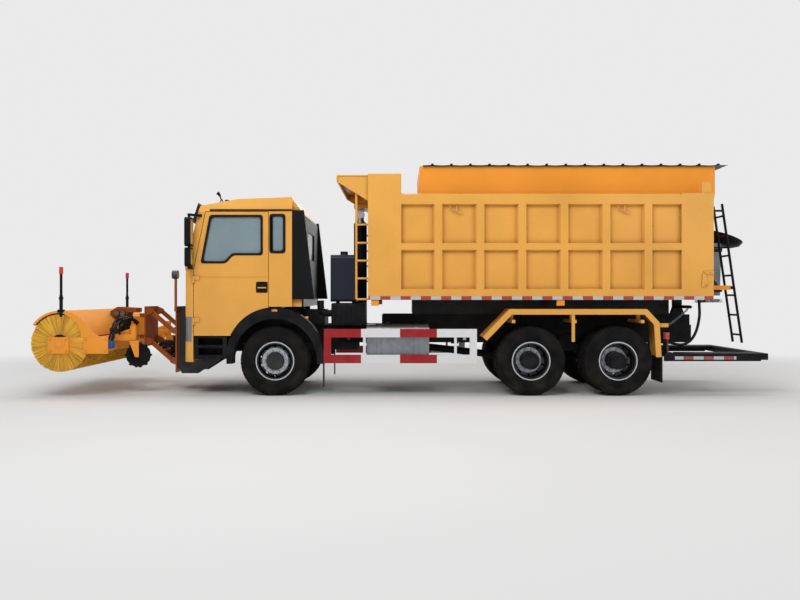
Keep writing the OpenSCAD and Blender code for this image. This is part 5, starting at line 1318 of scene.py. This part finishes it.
def add_hood(bm):
    """The rolled hood with its lips, and at each end a rim and a band down to the arm."""
    outer = HOOD_R + HOOD_T
    shell = arc(outer, *HOOD_SPAN, 40) + arc(HOOD_R, *HOOD_SPAN[::-1], 40)
    add_prism(bm, around_roll(shell), -ARM_Y[0], ARM_Y[0])
    for turn in HOOD_SPAN:
        (x, z), = around_roll(arc(HOOD_R + HOOD_T / 2, turn, turn + 1, 1)[:1])
        add_tube(bm, [(x, -ARM_Y[0], z), (x, ARM_Y[0], z)], 0.013, 12)
    rim = arc(outer, HOOD_SPAN[0], 92, 18) + arc(HOOD_R - 0.022, 92, HOOD_SPAN[0], 18)
    band = arc(outer, 88, 152, 18) + [(-0.5, 0.16), (-0.55, 0.12), (-0.64, 0.09)] + BAND_INNER
    for sign in SIDES.values():
        ends = [sign * y for y in ARM_Y]
        add_prism(bm, around_roll(rim), *ends)
        add_prism(bm, around_roll(band), *ends)


def add_arms(bm):
    """The side arms with bolted covers and the bearing's flange."""
    for x0, x1, sunk in ARM_PLATES:
        add_pair(bm, (x0, x1), (ARM_Y[0], ARM_Y[1] - sunk), ARM_Z, 0.006)
    bolts = [(x, z) for x0, x1, sunk in ARM_PLATES if not sunk for x in (x0 + 0.035, x1 - 0.035)
             for z in (ARM_Z[0] + 0.035, ARM_Z[1] - 0.035)]
    flange = [(0.001, 0.0), (0.085, 0.0), (0.085, 0.008), (0.05, 0.012), (0.05, 0.018), (0.001, 0.018)]
    for sign in SIDES.values():
        for x, z in bolts:
            add_bolt(bm, at(x, sign * ARM_Y[1], z), (0, sign, 0), 0.011)
        add_lathe(bm, [(r, sign * (ARM_Y[1] - 0.002 + a)) for r, a in flange], at(BROOM_X, 0, BROOM_Z), "y", 36)


def add_frame_beams(bm):
    """The cross beam, the casters' beams with their barrels, the swing barrel and its gusset."""
    add_box(bm, at(2.555, -ARM_Y[0], 0.7), at(2.69, ARM_Y[0], 0.93), 0.008)
    add_pair(bm, (CASTER_X, 2.615), (CASTER_Y - 0.05, CASTER_Y + 0.05), (0.85, 0.95), 0.006)
    for y in (-CASTER_Y, CASTER_Y):
        add_tube(bm, [at(CASTER_X, y, z) for z in (0.85, 1.08)], 0.05, 28)
        add_prism(bm, ahead([(2.3, 0.945), (2.56, 0.945), (2.3, 1.04)]), y - 0.006, y + 0.006)
    add_tube(bm, [at(SWING_X, 0, z) for z in (0.899, 1.201)], 0.075, 32)
    add_tube(bm, [at(SWING_X, 0, z) for z in (0.835, 1.265)], 0.04, 24)
    add_prism(bm, ahead(SWING_GUSSET), -0.06, 0.06)


def add_posts(bm, black, cap):
    """Marker posts with a clamp at the foot and a bright cap."""
    foot, shoulder = 1.56, POST_TOP - POST_CAP
    tubes = [((1.24, foot), 0.026, black), ((foot, shoulder), 0.02, black), ((1.5, 1.53), 0.034, black),
             ((shoulder, POST_TOP - 0.008, POST_TOP), [0.03, 0.03, 0.022], cap)]
    for sign in SIDES.values():
        y = sign * (ARM_Y[0] + ARM_Y[1]) / 2
        add_box(bm, at(POST_X - 0.05, y - 0.03, 1.3), at(POST_X + 0.05, y + 0.03, 1.345), 0.006, black)
        for heights, radius, index in tubes:
            add_tube(bm, [at(POST_X, y, z) for z in heights], radius, 20, index)


def make_broom_frame():
    bm = bmesh.new()
    add_hood(bm)
    add_arms(bm)
    add_frame_beams(bm)
    add_posts(bm, 1, 2)
    piece("broom_frame_panels", bm, "broom", "orange_paint", ["broom_frame"],
          [LOOKS["orange_paint"], LOOKS["black_plastic"], MARKER_RED])


# Hoses from the swing barrel to the roll's motor: (x, y, z) from the front axle
PIPE_ROUTE = [(2.5, 0.05, 1.08), (2.5, 0.2, 1.13), (2.49, 0.45, 1.17), (2.47, 0.75, 1.17), (2.46, 1.05, 1.15),
              (2.45, 1.25, 1.1), (2.44, 1.38, 1.0), (2.45, 1.43, 0.9), (2.47, 1.44, 0.84)]
PIPE_R = 0.017


def make_broom_drive():
    """The roll's motor behind the near arm, the hoses that feed it, and a valve block and brackets on the beam."""
    bm = bmesh.new()
    add_box(bm, at(2.42, 1.38, 0.75), at(2.556, 1.5, 0.87), 0.012)
    add_tube(bm, [at(2.47, 1.36, 0.81), at(2.47, 1.515, 0.81)], 0.048, 24)
    piece("roll_motor", bm, "broom", "black_plastic", materials=[BLUE])
    bm = bmesh.new()
    for dx, dz, r in ((0.0, 0.0, PIPE_R), (0.03, 0.034, PIPE_R), (-0.028, 0.018, PIPE_R * 0.8)):
        add_tube(bm, smooth_route([at(x + dx, y, z + dz) for x, y, z in PIPE_ROUTE], 5), r, 12)
    for x, y, z in PIPE_ROUTE[2:7:2]:
        add_box(bm, at(x - 0.055, y - 0.012, z - 0.03), at(x + 0.06, y + 0.012, z + 0.06), 0.005)
    add_box(bm, at(2.58, 0.35, 0.928), at(2.67, 0.62, 1.02), 0.008)
    for y in (0.42, 0.48, 0.54):
        add_tube(bm, [at(2.62, y, 1.01), at(2.62, y, 1.06)], 0.018, 14)
    add_box(bm, at(2.47, 0.43, 1.0), at(2.6, 0.47, 1.2), 0.004)
    add_box(bm, at(2.45, 1.03, 0.945), at(2.47, 1.07, 1.16), 0.004)
    piece("broom_pipes", bm, "broom", "rubber")


def make_work_lamps():
    """Lens faces of the work lamps on the hitch."""
    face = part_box("lamps")[1].x
    bm = bmesh.new()
    for sign in SIDES.values():
        middle = Vector((face, sign * 0.52, 1.9))
        add_lathe(bm, [(0.001, 0.006), (0.058, 0.003), (0.062, -0.002), (0.001, -0.002)], middle, "x", 32)
    piece("work_lamp_lenses", bm, "chassis", "lamp")


def make_rear_trim():
    """Pads under the bed's side rails, and a strut on each rear fender between the wheels."""
    bm = bmesh.new()
    for x in (-1.555, -4.43):
        add_pair(bm, (x - 0.06, x + 0.06), (1.16, 1.235), (1.4, 1.492), 0.006)
    piece("bed_pads", bm, "bed", "orange_paint")
    bm = bmesh.new()
    add_pair(bm, (-4.65, -4.6), (1.205, 1.232), (0.84, 1.335), 0.004)
    piece("fender_struts", bm, "chassis", "yellow_paint")


# The air cleaner on the rail behind the cab
CLEANER = ((-1.4, 0.43, 1.09), (-0.86, 1.05, 1.44))


def make_air_cleaner():
    """A ribbed black box on the left rail, with its intake pipe towards the cab."""
    (x0, y0, z0), (x1, y1, z1) = CLEANER
    bm = bmesh.new()
    add_box(bm, at(x0, y0, z0), at(x1, y1, z1), 0.025)
    for i in range(6):
        x = x0 + 0.06 + (x1 - x0 - 0.12) * i / 5
        add_box(bm, at(x - 0.008, y1 - 0.01, z0 + 0.04), at(x + 0.008, y1 + 0.008, z1 - 0.04), 0.003)
    pipe = [(x1 - 0.02, y1 - 0.15, 1.28), (x1 + 0.1, y1 - 0.15, 1.28), (x1 + 0.17, y1 - 0.15, 1.34),
            (x1 + 0.18, y1 - 0.15, 1.48)]
    add_tube(bm, smooth_route([at(*p) for p in pipe], 6), 0.055, 18)
    piece("air_cleaner", bm, "chassis", "black_plastic")


# The headstock that carries the hood, as (x, z), half its width, and the couplings on its left face
HEADSTOCK = [(2.48, 1.28), (2.62, 1.28), (2.66, 1.14), (2.86, 1.14), (2.92, 1.29), (2.8, 1.37), (2.48, 1.35)]
HEADSTOCK_HALF = 0.16
COUPLINGS = [2.69, 2.79]
COUPLING_Z = 1.26
# The lift arm's pin as (x, z), and the arm's direction
LIFT_PIN = (1.82, 0.48)
LIFT_SLOPE = (370 / 489.2, 320 / 489.2)
# The linkage's hoses: their places across, where they start and end, and their route as (along the arm, above it)
LINK_HOSES = [-0.19, -0.13, 0.1, 0.15, 0.2]
LINK_HOSE_ENDS = (0.13, 0.365)
LINK_HOSE_ROUTE = [(0.13, 0.02), (0.145, 0.1), (0.2, 0.15), (0.29, 0.15), (0.35, 0.1), (0.365, 0.02)]


def make_headstock():
    """The headstock over the hood with two couplings, and the hoses that ride on the lift arms."""
    bm = bmesh.new()
    add_prism(bm, ahead(HEADSTOCK), -HEADSTOCK_HALF, HEADSTOCK_HALF)
    piece("headstock", bm, "broom", "orange_paint", materials=[LINKAGE])
    bm = bmesh.new()
    for x in COUPLINGS:
        ends = [at(x, HEADSTOCK_HALF + out, COUPLING_Z) for out in (-0.01, 0.06)]
        add_tube(bm, ends, 0.042, 24)
    piece("headstock_couplings", bm, "broom", "steel", materials=[LOOKS["zinc_steel"]])
    bm = bmesh.new()
    (x0, z0), (dx, dz) = LIFT_PIN, LIFT_SLOPE
    for i, y in enumerate(LINK_HOSES):
        route = [at(x0 + along * dx - above * dz, y, z0 + along * dz + above * dx)
                 for along, above in ((a, n * (0.8 + 0.12 * (i % 3))) for a, n in LINK_HOSE_ROUTE)]
        add_tube(bm, smooth_route(route, 6), 0.021, 12)
    for along in LINK_HOSE_ENDS:
        middle = at(x0 + along * dx, 0.0, z0 + along * dz)
        add_tube(bm, [middle + Vector((0.0, y, 0.0)) for y in (-0.28, 0.28)], 0.03, 16)
    piece("linkage_hoses", bm, "lift", "rubber")


make_broom_frame()
make_headstock()
make_air_cleaner()
make_broom_drive()
make_work_lamps()
make_rear_trim()
